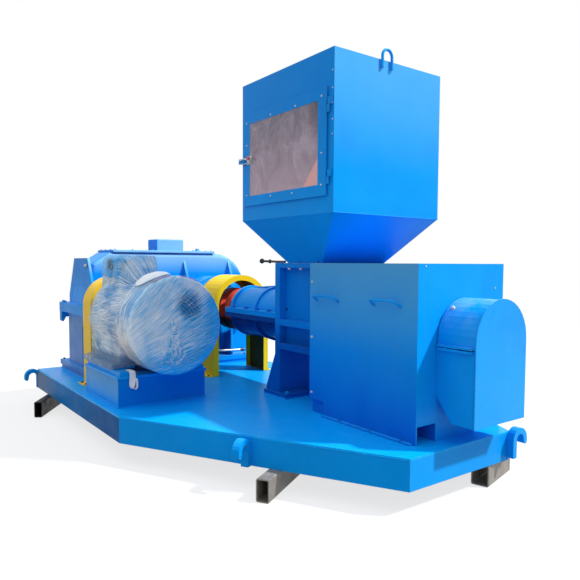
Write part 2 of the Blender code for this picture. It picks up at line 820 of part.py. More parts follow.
def build_motor(paint):
    """Finned frame with end shields and feet, fan cowl and terminal box."""
    front = MOTOR_FRONT + COWL_LENGTH + GAP
    rear = MOTOR_REAR
    body = cylinder("motor_body", MOTOR_RADIUS, (INPUT_X, front, AXIS_Z), (INPUT_X, rear, AXIS_Z), paint, 60)
    fins = star("fins", MOTOR_RADIUS - 0.01, MOTOR_RADIUS + FIN_HEIGHT, front + END_SHIELD, rear - END_SHIELD)
    join(body, fins)
    half = RAIL_SPREAD / 2
    middle = (front + rear) / 2
    for side in (-1, 1):
        x = INPUT_X + side * half
        low = rail_top() + GAP
        inner = INPUT_X + side * (MOTOR_RADIUS * 0.72)
        outline = [
            (x + side * MOTOR_FOOT_WIDTH / 2, low),
            (x + side * MOTOR_FOOT_WIDTH / 2, low + MOTOR_FOOT_THICKNESS),
            (x - side * MOTOR_FOOT_WIDTH * 0.2, low + MOTOR_FOOT_THICKNESS),
            (INPUT_X + side * MOTOR_RADIUS * 0.80, AXIS_Z - MOTOR_RADIUS * 0.40),
            (inner, AXIS_Z - MOTOR_RADIUS * 0.45),
            (INPUT_X + side * MOTOR_RADIUS * 0.60, low),
        ]
        foot = prism(
            f"foot_{side}", [outline], "XZ",
            middle - MOTOR_FOOT_LENGTH / 2, middle + MOTOR_FOOT_LENGTH / 2, None,
        )
        join(body, foot)
    saddle = box(
        "saddle",
        (TERMINAL_X - TERMINAL_WIDTH * 0.30, TERMINAL_Y - TERMINAL_DEPTH * 0.30, AXIS_Z + MOTOR_RADIUS * 0.80),
        (TERMINAL_X + TERMINAL_WIDTH * 0.30, TERMINAL_Y + TERMINAL_DEPTH * 0.30, terminal_bottom() - GAP),
        None,
    )
    join(body, saddle)

    cowl = turned("motor_fan_cowl", cowl_profile(), INPUT_X, paint, 48)
    box(
        "motor_terminal_box",
        (TERMINAL_X - TERMINAL_WIDTH / 2, TERMINAL_Y - TERMINAL_DEPTH / 2, terminal_bottom()),
        (TERMINAL_X + TERMINAL_WIDTH / 2, TERMINAL_Y + TERMINAL_DEPTH / 2, terminal_bottom() + TERMINAL_HEIGHT),
        paint, 0.012, 2,
    )
    return body, cowl


def terminal_bottom():
    return AXIS_Z + MOTOR_RADIUS + FIN_HEIGHT + 0.012


def cowl_profile():
    """Rounded sheet cowl over the fan, as a solid turned piece."""
    rear = MOTOR_FRONT + COWL_LENGTH
    radius = COWL_RADIUS
    corner = 0.05
    points = [(0.0, rear), (radius, rear), (radius, MOTOR_FRONT + corner)]
    points += [
        (radius - corner + corner * math.cos(a), MOTOR_FRONT + corner - corner * math.sin(a))
        for a in (math.radians(30), math.radians(60), math.radians(90))
    ]
    points.append((0.0, MOTOR_FRONT))
    return points


def star(name, inner, outer, front, rear):
    """Ring of straight cooling fins along the motor."""
    points = []
    pitch = 2 * math.pi / FIN_COUNT
    half = FIN_THICKNESS / 2
    for i in range(FIN_COUNT):
        a = pitch * i
        for radius, side in ((inner, -1), (outer, -1), (outer, 1), (inner, 1)):
            b = a + side * half / radius
            points.append((INPUT_X + radius * math.cos(b), AXIS_Z + radius * math.sin(b)))
    return prism(name, [points], "XZ", front, rear, None)


def smooth_step(value, low, high):
    share = min(max((value - low) / (high - low), 0.0), 1.0)
    return share * share * (3 - 2 * share)


def wrap_section(y):
    """Ring of the film round the motor at one place along it, open at the foot.

    It is slack, sags and closes under the fan cowl. Further back it is tighter and hangs down to the
    rails outside the motor's feet.
    """
    slack = 1.0 - smooth_step(y, MOTOR_FRONT + COWL_LENGTH, WRAP_CLOSED_TO)
    base = COWL_RADIUS + WRAP_CLEARANCE + WRAP_FRONT_SLACK * slack
    centre_x, centre_z = wrap_centre(slack)
    skirt = smooth_step(y, WRAP_CLOSED_TO, WRAP_OPEN_FROM)
    hump_start = TERMINAL_Y - TERMINAL_DEPTH / 2 - 0.42
    hump = smooth_step(y, hump_start, TERMINAL_Y - TERMINAL_DEPTH / 2 - 0.03)
    top = terminal_bottom() + TERMINAL_HEIGHT + WRAP_CLEARANCE - AXIS_Z
    hem = rail_top() + GAP - AXIS_Z
    half = TERMINAL_WIDTH / 2 + WRAP_CLEARANCE * 1.6
    offset = TERMINAL_X - INPUT_X
    points = []
    steps = 40
    start, end = WRAP_START, 180.0 - WRAP_START
    for i in range(steps + 1):
        degrees = start + (end - start) * i / steps
        a = math.radians(degrees)
        dx, dz = math.cos(a), math.sin(a)
        radius = base
        if dz > 0.2 and hump > 0:
            side = (half + offset if dx > 0 else half - offset) / max(abs(dx), 1e-6)
            corner = min(top / dz, side)
            radius += max(corner - radius, 0.0) * hump
        u, v = radius * dx, radius * dz
        if dz < 0:
            below = (-degrees if degrees < 90 else degrees - 180.0) / -start
            u += (math.copysign(base, dx) - u) * skirt
            v += (hem * below - v) * skirt
        points.append((centre_x + u, centre_z + v))
    return points


def wrap_centre(slack):
    """X and Z of the film ring's middle; the slack front part has sunk down and to the right."""
    return INPUT_X + WRAP_SAG * slack, AXIS_Z - WRAP_SAG * slack


def build_motor_wrap(film):
    """Clear packing film over the motor: an open sheet, lofted along it, given its thickness."""
    front = MOTOR_FRONT - WRAP_CLEARANCE / 2
    rear = MOTOR_REAR + 0.02
    stations = [front + (WRAP_CLOSED_TO - front) * i / 6 for i in range(7)]
    stations += [WRAP_OPEN_FROM + (rear - WRAP_OPEN_FROM) * i / 11 for i in range(12)]
    stations.insert(7, (WRAP_CLOSED_TO + WRAP_OPEN_FROM) / 2)
    bm = bmesh.new()
    rings = []
    for y in stations:
        rings.append([bm.verts.new((x, y, z)) for x, z in wrap_section(y)])
    for ring, following in zip(rings, rings[1:]):
        for k in range(len(ring) - 1):
            bm.faces.new((ring[k], ring[k + 1], following[k + 1], following[k]))
    hub_x, hub_z = wrap_centre(1.0)
    hub = bm.verts.new((hub_x, front - WRAP_FRONT_BULGE / 2, hub_z))
    first = rings[0]
    for k in range(len(first) - 1):
        bm.faces.new((hub, first[k + 1], first[k]))
    wrap = place_mesh("motor_wrap", bm, film)
    solid = wrap.modifiers.new("film", "SOLIDIFY")
    solid.thickness = WRAP_THICKNESS
    solid.offset = 0.0
    wrap.data.shade_smooth()
    return wrap


# Couplings and guards

def build_input_coupling(paint):
    """Coupling between the motor and the reducer, with its two shaft ends."""
    start = MOTOR_REAR + SHAFT_END_GAP
    end = boss_front() - SHAFT_END_GAP
    middle = (start + end) / 2
    half = COUPLING_LENGTH_IN / 2
    shaft = MOTOR_SHAFT_RADIUS
    disc = COUPLING_RADIUS_IN
    profile = [
        (0.0, end), (shaft, end), (shaft, middle + half), (disc * 0.62, middle + half),
        (disc * 0.62, middle + half * 0.55), (disc, middle + half * 0.55), (disc, middle + half * 0.08),
        (disc - 0.012, middle + half * 0.08), (disc - 0.012, middle - half * 0.08),
        (disc, middle - half * 0.08), (disc, middle - half * 0.55), (disc * 0.62, middle - half * 0.55),
        (disc * 0.62, middle - half), (shaft, middle - half), (shaft, start), (0.0, start),
    ]
    return turned("input_coupling", profile, INPUT_X, paint, 40)


def build_output_coupling(paint):
    """Large coupling on the main shaft, between the reducer and the barrel."""
    start = BARREL_REAR + SHAFT_END_GAP
    end = boss_front() - SHAFT_END_GAP
    disc = COUPLING_RADIUS_OUT
    hub = COUPLING_HUB_OUT
    front, rear = COUPLING_FRONT, COUPLING_REAR
    middle = (front + rear) / 2
    flange = 0.060
    profile = [
        (0.0, end), (MAIN_SHAFT_RADIUS, end), (MAIN_SHAFT_RADIUS, rear), (hub, rear),
        (hub, middle + flange), (disc, middle + flange), (disc, middle + 0.006),
        (disc - 0.018, middle + 0.006), (disc - 0.018, middle - 0.006), (disc, middle - 0.006),
        (disc, middle - flange), (hub, middle - flange), (hub, front + 0.09), (disc, front + 0.09),
        (disc, front), (MAIN_SHAFT_RADIUS, front), (MAIN_SHAFT_RADIUS, start), (0.0, start),
    ]
    return turned("output_coupling", profile, MAIN_X, paint, 48)


def arch_outline(centre, half, crown, low):
    points = [(centre + half, low)]
    points += arc(centre, crown, half, 0, 180, 20)
    points.append((centre - half, low))
    return points


def build_arch_guard(name, centre, half, crown, front, depth, paint):
    """Sheet arch over a coupling, with a ring lip in front and behind and feet on the deck."""
    low = DECK + GAP
    leg = low + GUARD_SHEET / 2
    crown_z = DECK + crown
    guard = prism(name, [arch_outline(centre, half, crown_z, leg)], "XZ", front, front + depth, paint)
    inner = arch_outline(centre, half - GUARD_SHEET, crown_z, DECK - 0.1)
    cut(guard, prism(name + "_room", [inner], "XZ", front + GUARD_SHEET, front + depth - GUARD_SHEET, None))
    mouth = arch_outline(centre, half - GUARD_LIP, crown_z, DECK - 0.1)
    cut(guard, prism(name + "_mouth", [mouth], "XZ", front - 0.1, front + depth + 0.1, None))
    for side in (-1, 1):
        inside = centre + side * (half - GUARD_SHEET * 2)
        outside = centre + side * (half + GUARD_FOOT)
        foot = box(
            name + "_foot", (min(inside, outside), front + 0.02, low),
            (max(inside, outside), front + depth - 0.02, low + GUARD_SHEET), None,
        )
        join(guard, foot)
    return guard


# Barrel

def build_barrel(paint):
    """Split barrel: two half shells bolted at a long flange, with a gusset above and below."""
    front = CHAMBER_REAR + GAP
    rear = BARREL_REAR
    for side, name in ((1, "barrel_upper"), (-1, "barrel_lower")):
        shell = half_round(name, BARREL_RADIUS, front, rear, side, paint)
        near, far = AXIS_Z + side * GAP / 2, AXIS_Z + side * BARREL_FLANGE_THICKNESS
        flange = box(
            name + "_flange",
            (MAIN_X - BARREL_FLANGE_HALF, front, min(near, far)),
            (MAIN_X + BARREL_FLANGE_HALF, rear, max(near, far)), None,
        )
        join(shell, flange)
        ring_radius = BARREL_RADIUS + BARREL_RING_HEIGHT
        for k, y in enumerate((rear - BARREL_RING_WIDTH, BARREL_RING_2, front)):
            join(shell, half_round(f"{name}_ring_{k}", ring_radius, y, y + BARREL_RING_WIDTH, side, None))
        half = BARREL_GUSSET_THICKNESS / 2
        crown = AXIS_Z + side * (BARREL_RADIUS - 0.02)
        low_end = AXIS_Z + side * (BARREL_RADIUS + 0.002)
        high_end = AXIS_Z + side * (BARREL_RADIUS + BARREL_GUSSET_RISE)
        outline = [(front, crown), (rear - BARREL_RING_WIDTH, crown), (rear - BARREL_RING_WIDTH, low_end), (front, high_end)]
        join(shell, prism(name + "_gusset", [outline], "YZ", MAIN_X - half, MAIN_X + half, None))


def half_round(name, radius, front, rear, side, mat):
    start, end = (0, 180) if side > 0 else (180, 360)
    outline = arc(MAIN_X, AXIS_Z + side * GAP / 2, radius, start, end, 24)
    return prism(name, [outline], "XZ", front, rear, mat)


# Feed chamber

def build_chamber(paint):
    """Cast feed chamber between the barrel and the housing, with shelves and recessed sides."""
    left, right = MAIN_X - CHAMBER_HALF, MAIN_X + CHAMBER_HALF
    front = HOUSING_FRONT + HOUSING_DEPTH + GAP
    top = DECK + CHAMBER_HEIGHT
    plate = CHAMBER_REAR - CHAMBER_PLATE
    recess = CHAMBER_RECESS
    shelf_low = DECK + SHELF_2_TOP - SHELF_THICKNESS
    chamber = box(
        "feed_chamber", (left + recess, front, shelf_low), (right - recess, plate - GAP, top), paint
    )
    lip = box("lip", (left, front, top - CHAMBER_LIP), (right, plate - GAP, top), None)
    join(chamber, lip)
    for k, shelf in enumerate((SHELF_1_TOP, SHELF_2_TOP)):
        z = DECK + shelf
        join(chamber, box(f"shelf_{k}", (left, front, z - SHELF_THICKNESS), (right, plate - GAP, z), None))

    mouth = MOUTH_WALL
    cut(chamber, box(
        "feed_mouth", (left + recess + mouth, front + mouth, DECK + MOUTH_FLOOR),
        (right - recess - mouth, FUNNEL_FRONT + FUNNEL_DEPTH - mouth, top + 0.1), None,
    ))

    foot = DECK + GAP + PEDESTAL_FOOT
    waist = DECK + PEDESTAL_WAIST
    outline = [
        (plate, foot - PEDESTAL_FOOT / 2), (PEDESTAL_FOOT_REAR - 0.02, foot - PEDESTAL_FOOT / 2),
        (PEDESTAL_FOOT_REAR - 0.02, foot + 0.01),
        (CHAMBER_REAR + PEDESTAL_FLARE, DECK + PEDESTAL_FLARE_HEIGHT), (CHAMBER_REAR, waist),
        (CHAMBER_REAR, top), (plate, top),
    ]
    pedestal = prism("barrel_pedestal", [outline], "YZ", left, right, paint)
    sole = box(
        "sole", (left - 0.01, PEDESTAL_FOOT_FRONT, DECK + GAP), (right + 0.01, PEDESTAL_FOOT_REAR, foot), None
    )
    join(pedestal, sole)
    build_gate_lever(plate, top)


def build_gate_lever(plate, top):
    """Rod with two ball grips that lies on the pedestal's top and reaches out over the barrel."""
    x = MAIN_X - CHAMBER_HALF + 0.06
    z = top + GAP + GATE_ROD
    end = CHAMBER_REAR + GATE_REACH
    bend = CHAMBER_REAR + 0.045
    lever = rod(
        "gate_lever", [(x, plate + 0.005, z), (x, bend, z), (x, end, z + GATE_RISE)], GATE_ROD, DARK, 2
    )
    for out, radius in ((GATE_SMALL_BALL_OUT, GATE_SMALL_BALL), (GATE_REACH, GATE_BALL)):
        y = CHAMBER_REAR + out
        height = z + GATE_RISE * (y - bend) / (end - bend)
        bm = bmesh.new()
        bmesh.ops.create_uvsphere(bm, u_segments=16, v_segments=10, radius=radius)
        join(lever, place_mesh("gate_ball", bm, None, (x, y, height)))


# Housing

def housing_right():
    return HOUSING_LEFT + HOUSING_WIDTH


def build_housing(paint):
    """Box over the grinding head, with the discharge opening at the foot of its front."""
    left, right = HOUSING_LEFT, housing_right()
    front, back = HOUSING_FRONT, HOUSING_FRONT + HOUSING_DEPTH
    low, top = DECK + GAP, DECK + HOUSING_HEIGHT
    housing = box("housing", (left, front, low), (right, back, top), paint)
    wall = DISCHARGE_WALL
    mouth = box(
        "mouth", (left + wall, front - 0.1, low - 0.1),
        (left + wall + DISCHARGE_WIDTH, front + DISCHARGE_DEPTH, DECK + DISCHARGE_HEIGHT), None,
    )
    cut(housing, mouth)
    notch = box(
        "notch", (left - 0.1, back - NOTCH_LENGTH, low - 0.1), (right + 0.1, back + 0.1, DECK + NOTCH_HEIGHT), None
    )
    cut(housing, notch)
    for side, edge in ((-1, left), (1, right)):
        lip = 0.028
        strip = box(
            f"strip_{side}",
            (min(edge - side * 0.004, edge + side * lip), front + 0.03, low),
            (max(edge - side * 0.004, edge + side * lip), back - NOTCH_LENGTH - 0.01, low + 0.010), None,
        )
        join(housing, strip)
    join(housing, box(
        "foot_block", (left + FOOT_BLOCK_INSET, back - NOTCH_LENGTH - 0.05, low),
        (right - FOOT_BLOCK_INSET, back - GAP, DECK + NOTCH_HEIGHT + 0.01), None,
    ))
    for i, y in enumerate(HANDLE_Y):
        build_handle(f"housing_handle_{i + 1}", y, paint)


def build_handle(name, y, paint):
    """Bow handle of round bar on the housing's left face, tilted upwards."""
    x = HOUSING_LEFT - GAP
    z = DECK + HANDLE_HEIGHT
    half = HANDLE_LENGTH / 2
    bend = HANDLE_BEND
    stub = HANDLE_STUB
    bow = [(0.0, -half), (stub, -half)]
    bow += arc(HANDLE_REACH - bend, -half + bend, bend, -90, 0, 4)
    bow += arc(HANDLE_REACH - bend, half - bend, bend, 0, 90, 4)
    bow += [(stub, half), (0.0, half)]
    slope = HANDLE_RISE / (HANDLE_REACH - stub)
    points = [(x - out, y + along, z + max(out - stub, 0.0) * slope) for out, along in bow]
    rod(name, points, HANDLE_ROD, paint, 2)


# Arched guard at the front

def guard_centre():
    return HOUSING_LEFT + HOUSING_WIDTH / 2


def cover_hinge():
    """X and Z of the shaft guard's hinge line, along its right edge."""
    return guard_centre() + ARCH_WIDTH / 2 + ARCH_FLANGE_LIP + HINGE_STEP, DECK + ARCH_SPLIT


def cover_knuckle(name, y, side):
    """One knuckle of the shaft guard's hinge with its leaf; the side is 1 on the cover, -1 below."""
    x, z = cover_hinge()
    start = y + GAP if side > 0 else y - COVER_KNUCKLE
    end = start + COVER_KNUCKLE - GAP
    pin = cylinder(name, HINGE_RADIUS, (x, start, z), (x, end, z), None, 16)
    near, far = z + side * 0.004, z + side * 0.009
    leaf = box(
        name + "_leaf", (x - HINGE_STEP - 0.006, start + GAP, min(near, far)),
        (x, end - GAP, max(near, far)), None,
    )
    return join(leaf, pin)


def build_shaft_guard(paint):
    """Round-topped guard over the shaft's end: a fixed lower part and a hinged cover."""
    centre = guard_centre()
    half = ARCH_WIDTH / 2
    back = HOUSING_FRONT - GAP
    front = HOUSING_FRONT - ARCH_DEPTH
    inner = front + ARCH_PLATE
    lower_front = inner + COVER_GAP
    split = DECK + ARCH_SPLIT
    seam = split - COVER_GAP / 2
    low = DECK + ARCH_LOW_FRONT
    lip = ARCH_FLANGE_LIP

    side = [(back, DECK + ARCH_LOW_BACK), (back, seam), (lower_front, seam), (lower_front, low)]
    side += [(front + ARCH_FLOOR, low)]
    lower = prism("shaft_guard_lower", [side], "YZ", centre - half, centre + half, paint)
    join(lower, box(
        "flange", (centre - half - lip, lower_front + 0.01, seam - ARCH_FLANGE),
        (centre + half + lip, back - COVER_GAP * 2, seam), None,
    ))
    hinges_y = (lower_front + 0.08, back - 0.08)
    for k, y in enumerate(hinges_y):
        join(lower, cover_knuckle(f"lower_knuckle_{k}", y, -1))

    seam = split + COVER_GAP / 2
    outline = arch_outline(centre, half, DECK + ARCH_CENTRE, seam)
    cover = prism("shaft_guard_cover", [outline], "XZ", front + ARCH_PLATE / 2, back - COVER_GAP, paint)
    join(cover, box(
        "flange", (centre - half - lip, lower_front + 0.01, seam),
        (centre + half + lip, back - COVER_GAP * 2, seam + ARCH_FLANGE), None,
    ))
    for k, y in enumerate(hinges_y):
        join(cover, cover_knuckle(f"cover_knuckle_{k}", y, 1))
    plate = arch_outline(centre, half + ARCH_PLATE_LIP, DECK + ARCH_CENTRE, low)
    join(cover, prism("plate", [plate], "XZ", front, inner, None))


# Hopper

def build_hopper(paint, glass):
    left, right = HOPPER_LEFT, HOPPER_LEFT + HOPPER_WIDTH
    front, back = HOPPER_FRONT, HOPPER_FRONT + HOPPER_DEPTH
    low, top = DECK + HOPPER_BOTTOM, DECK + HOPPER_TOP
    sheet = HOPPER_SHEET
    outer = [(left, front), (right, front), (right, back), (left, back)]
    inner = inset_corners(outer, sheet)
    body = prism("hopper_box", [outer, inner], "XY", low + GAP, top, paint)
    rim_inner = inset_corners(outer, HOPPER_RIM)
    rim = prism("rim", [outer, rim_inner], "XY", top - sheet, top, None)
    join(body, rim)
    window = box(
        "window",
        (left - 0.1, door_window()[0] - 0.010, DECK + door_window()[2] - 0.010),
        (left + sheet * 2, door_window()[1] + 0.010, DECK + door_window()[3] + 0.010), None,
    )
    cut(body, window)

    build_funnel(paint, outer, low)
    build_door(body, paint, glass)
    build_loops(paint)


def door_edges():
    """Low and high Y, then low and high Z above the deck, of the door."""
    return (
        HOPPER_FRONT + DOOR_MARGIN_FRONT, HOPPER_FRONT + HOPPER_DEPTH - DOOR_MARGIN_REAR,
        HOPPER_BOTTOM + DOOR_MARGIN_BOTTOM, HOPPER_TOP - DOOR_MARGIN_TOP,
    )


def door_window():
    """Low and high Y, then low and high Z above the deck, of the door's window."""
    front, rear, bottom, top = door_edges()
    side, end = DOOR_WINDOW_MARGIN_SIDE, DOOR_WINDOW_MARGIN_END
    return front + side, rear - side, bottom + end, top - end


def build_funnel(paint, outer, high):
    """Square funnel, lofted from the hopper's foot to the feed opening."""
    low = DECK + CHAMBER_HEIGHT + GAP
    left, right = FUNNEL_LEFT, FUNNEL_LEFT + FUNNEL_WIDTH
    front, back = FUNNEL_FRONT, FUNNEL_FRONT + FUNNEL_DEPTH
    mouth = [(left, front), (right, front), (right, back), (left, back)]
    sheet = HOPPER_SHEET
    sections = (
        (outer, high), (mouth, low), (inset_corners(mouth, sheet), low), (inset_corners(outer, sheet), high),
    )
    bm = bmesh.new()
    loops = [[bm.verts.new((x, y, z)) for x, y in outline] for outline, z in sections]
    for ring, following in zip(loops, loops[1:] + loops[:1]):
        for k in range(4):
            bm.faces.new((ring[k], ring[(k + 1) % 4], following[(k + 1) % 4], following[k]))
    return place_mesh("hopper_funnel", bm, paint)


def hinge_line():
    """X and Y of the door's hinge line."""
    return HOPPER_LEFT - DOOR_STAND_OFF - DOOR_SHEET / 2, door_edges()[0] - HINGE_OFFSET


def build_door(body, paint, glass):
    """Framed window door on the hopper's left side, with its glass, hinges and latch."""
    outside = HOPPER_LEFT - DOOR_STAND_OFF - DOOR_SHEET
    inside = HOPPER_LEFT - DOOR_STAND_OFF
    y0, y1, z0, z1 = door_window()
    front, rear, bottom, top = door_edges()
    frame = [(front, DECK + bottom), (rear, DECK + bottom), (rear, DECK + top), (front, DECK + top)]
    hole = [(y0, DECK + z0), (y1, DECK + z0), (y1, DECK + z1), (y0, DECK + z1)]
    door = prism("hopper_door", [frame, hole], "YZ", outside, inside, paint)
    hx, hy = hinge_line()
    for k, z in enumerate((bottom + HINGE_FROM_DOOR_END, top - HINGE_FROM_DOOR_END)):
        middle = DECK + z
        barrel = cylinder(
            f"door_barrel_{k}", HINGE_RADIUS, (hx, hy, middle - HINGE_LENGTH / 2),
            (hx, hy, middle - GAP), None, 16,
        )
        leaf = box(
            f"door_leaf_{k}", (hx - 0.002, hy, middle - HINGE_LENGTH / 2),
            (hx + 0.002, front + 0.004, middle - GAP), None,
        )
        join(door, leaf, barrel)
        fixed = cylinder(
            f"fixed_barrel_{k}", HINGE_RADIUS, (hx, hy, middle + GAP),
            (hx, hy, middle + HINGE_LENGTH / 2), None, 16,
        )
        ear = box(
            f"fixed_leaf_{k}", (hx - 0.002, hy - 0.030, middle + GAP * 2),
            (HOPPER_LEFT + HOPPER_SHEET / 2, hy - 0.002, middle + HINGE_LENGTH / 2 - GAP), None,
        )
        join(body, fixed, ear)
    pane = [
        (y0 + GAP, DECK + z0 + GAP), (y1 - GAP, DECK + z0 + GAP),
        (y1 - GAP, DECK + z1 - GAP), (y0 + GAP, DECK + z1 - GAP),
    ]
    depth = (DOOR_SHEET - GLASS_THICKNESS) / 2
    prism("door_glass", [pane], "YZ", outside + depth, inside - depth, glass)
    latch_z = DECK + (bottom + top) / 2
    latch = box(
        "latch", (outside - 0.022, rear - 0.040, latch_z - 0.020),
        (outside + DOOR_SHEET / 2, rear + 0.045, latch_z + 0.020), None,
    )
    join(door, latch)


def build_loops(paint):
    """Lifting loops of round bar welded to the hopper's front and back faces."""
    centre = HOPPER_LEFT + HOPPER_WIDTH * 0.45
    front = HOPPER_FRONT - LOOP_ROD - GAP
    back = HOPPER_FRONT + HOPPER_DEPTH + LOOP_ROD + GAP
    for name, y in (("lifting_loop_front", front), ("lifting_loop_back", back)):
        top = DECK + HOPPER_TOP
        half = LOOP_WIDTH / 2
        points = [(centre - half, y, top - LOOP_LEG)]
        for u, v in arc(centre, top + LOOP_RISE - half, half, 180, 0, 10):
            points.append((u, y, v))
        points.append((centre + half, y, top - LOOP_LEG))
        rod(name, points, LOOP_ROD, paint, 2)


def settle_origin():
    """Moves the whole part so that the origin is at the centre of its base."""
    bpy.context.view_layer.update()
    graph = bpy.context.evaluated_depsgraph_get()
    low = Vector((1e9, 1e9))
    high = Vector((-1e9, -1e9))
    for obj in PARTS.objects:
        shape = obj.evaluated_get(graph)
        for corner in shape.data.vertices:
            spot = shape.matrix_world @ corner.co
            for i in range(2):
                low[i] = min(low[i], spot[i])
                high[i] = max(high[i], spot[i])
    shift = Matrix.Translation((-(low.x + high.x) / 2, -(low.y + high.y) / 2, 0.0))
    for group in (PARTS, CUTTERS):
        for obj in group.objects:
            obj.matrix_world = shift @ obj.matrix_world
    return low, high


def build():
    blue = make_material("machine_blue", BLUE, 0.35)
    deep = make_material("deep_blue", DEEP_BLUE, 0.40)
    yellow = make_material("guard_yellow", (0.900, 0.520, 0.020), 0.45)
    red = make_material("coupling_red", (0.700, 0.070, 0.050), 0.45)
    steel = make_material("tube_steel", (0.180, 0.175, 0.165), 0.55, 0.7)
    film = make_material("packing_film", (0.750, 0.820, 0.880), 0.20, 0.0, 0.35)
    glass = make_material("door_glass", (0.620, 0.560, 0.560), 0.25, 0.0, 0.45)

    build_support_tubes(steel)
    build_skid(blue)
    build_hooks(blue)
    build_reducer(blue)
    build_motor_stand(blue)
    build_motor(deep)
    build_motor_wrap(film)
    build_input_coupling(red)
    build_output_coupling(red)
    build_arch_guard(
        "input_guard", INPUT_X, INPUT_GUARD_HALF, INPUT_GUARD_CROWN,
        INPUT_GUARD_FRONT, INPUT_GUARD_DEPTH, yellow,
    )
    build_arch_guard(
        "output_guard", OUTPUT_GUARD_X, OUTPUT_GUARD_HALF, OUTPUT_GUARD_CROWN,
        OUTPUT_GUARD_FRONT, OUTPUT_GUARD_DEPTH, yellow,
    )
    build_barrel(deep)
    build_chamber(deep)
    build_housing(blue)
    build_shaft_guard(blue)
    build_hopper(blue, glass)
    settle_origin()


clear_scene()
PARTS = make_collection("carbon_fibre_grinder")
CUTTERS = make_collection("cutters")
DARK = make_material("lever_black", (0.020, 0.020, 0.022), 0.45)
build()
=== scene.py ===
"""Dressed model of the carbon fibre grinder: materials, fittings, film, light and camera."""
import math

import bmesh
import bpy
from mathutils import Matrix, Vector, noise


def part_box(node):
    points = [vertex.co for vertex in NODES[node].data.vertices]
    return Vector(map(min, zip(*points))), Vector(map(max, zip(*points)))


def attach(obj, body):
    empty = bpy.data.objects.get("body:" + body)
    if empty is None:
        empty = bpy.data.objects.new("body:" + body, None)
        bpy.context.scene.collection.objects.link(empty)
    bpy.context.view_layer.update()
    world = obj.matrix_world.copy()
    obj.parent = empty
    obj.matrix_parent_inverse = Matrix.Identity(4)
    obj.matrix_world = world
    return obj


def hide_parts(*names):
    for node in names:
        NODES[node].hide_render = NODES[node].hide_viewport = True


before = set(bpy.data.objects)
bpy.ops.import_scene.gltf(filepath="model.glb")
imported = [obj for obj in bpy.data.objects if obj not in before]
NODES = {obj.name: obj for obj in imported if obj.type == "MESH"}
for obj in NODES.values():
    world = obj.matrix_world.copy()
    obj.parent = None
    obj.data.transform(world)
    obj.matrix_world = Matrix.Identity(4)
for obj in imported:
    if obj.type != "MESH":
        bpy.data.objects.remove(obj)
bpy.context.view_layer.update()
LOW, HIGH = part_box("deck_plate")

# The CAD's plan frame: its zero is the skid's left corner, and heights count from the deck
DECK = HIGH.z
SKID_REAR = 2.396
ORIGIN = Vector((LOW.x, HIGH.y - SKID_REAR, DECK))
AXIS_Z = 0.665
INPUT_X = 0.462
MAIN_X = 1.665
ARCH_AXIS = (1.640, 0.0, 0.690)
COVER_TOP = 1.268
STAND_OFF = 0.0004

# The packing film: its front hangs a little low and to the right of the motor's axis
FILM_X = INPUT_X + 0.02
FILM_Z = AXIS_Z - 0.02
FILM_FRONT = 0.005
FILM_REAR = 1.080
FILM_CORNER = 0.034
FILM_BULGE = 0.0175
FRONT_RADIUS = 0.390
BODY_RADIUS = 0.336
SKIRT_START = 0.350
HEM_Z = 0.2785
SKIRT = ((0.336, 0.0), (0.3045, -0.142), (0.302, -0.330), (0.366, -0.345), (0.368, HEM_Z - AXIS_Z))

# Its folds fan out from a point behind the body, on its left; on the front they fan out from the
# lower left, beside a knot
FOLD_TURN = 1.571
FOLD_END = 1.85
FOLD_LEFT = 1.0
FOLD_BELOW = 0.55
KNOT_X = -0.045


def at(x, y, z):
    """A point of the CAD's plan frame, in the row frame."""
    return ORIGIN + Vector((x, y, z))


def plan(node):
    """Lowest and highest corner of a CAD node in the plan frame."""
    low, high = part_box(node)
    return low - ORIGIN, high - ORIGIN


LEFT = (0, -1.0)
FRONT = (1, -1.0)
ANY = (0, 0.0)


# Material building blocks

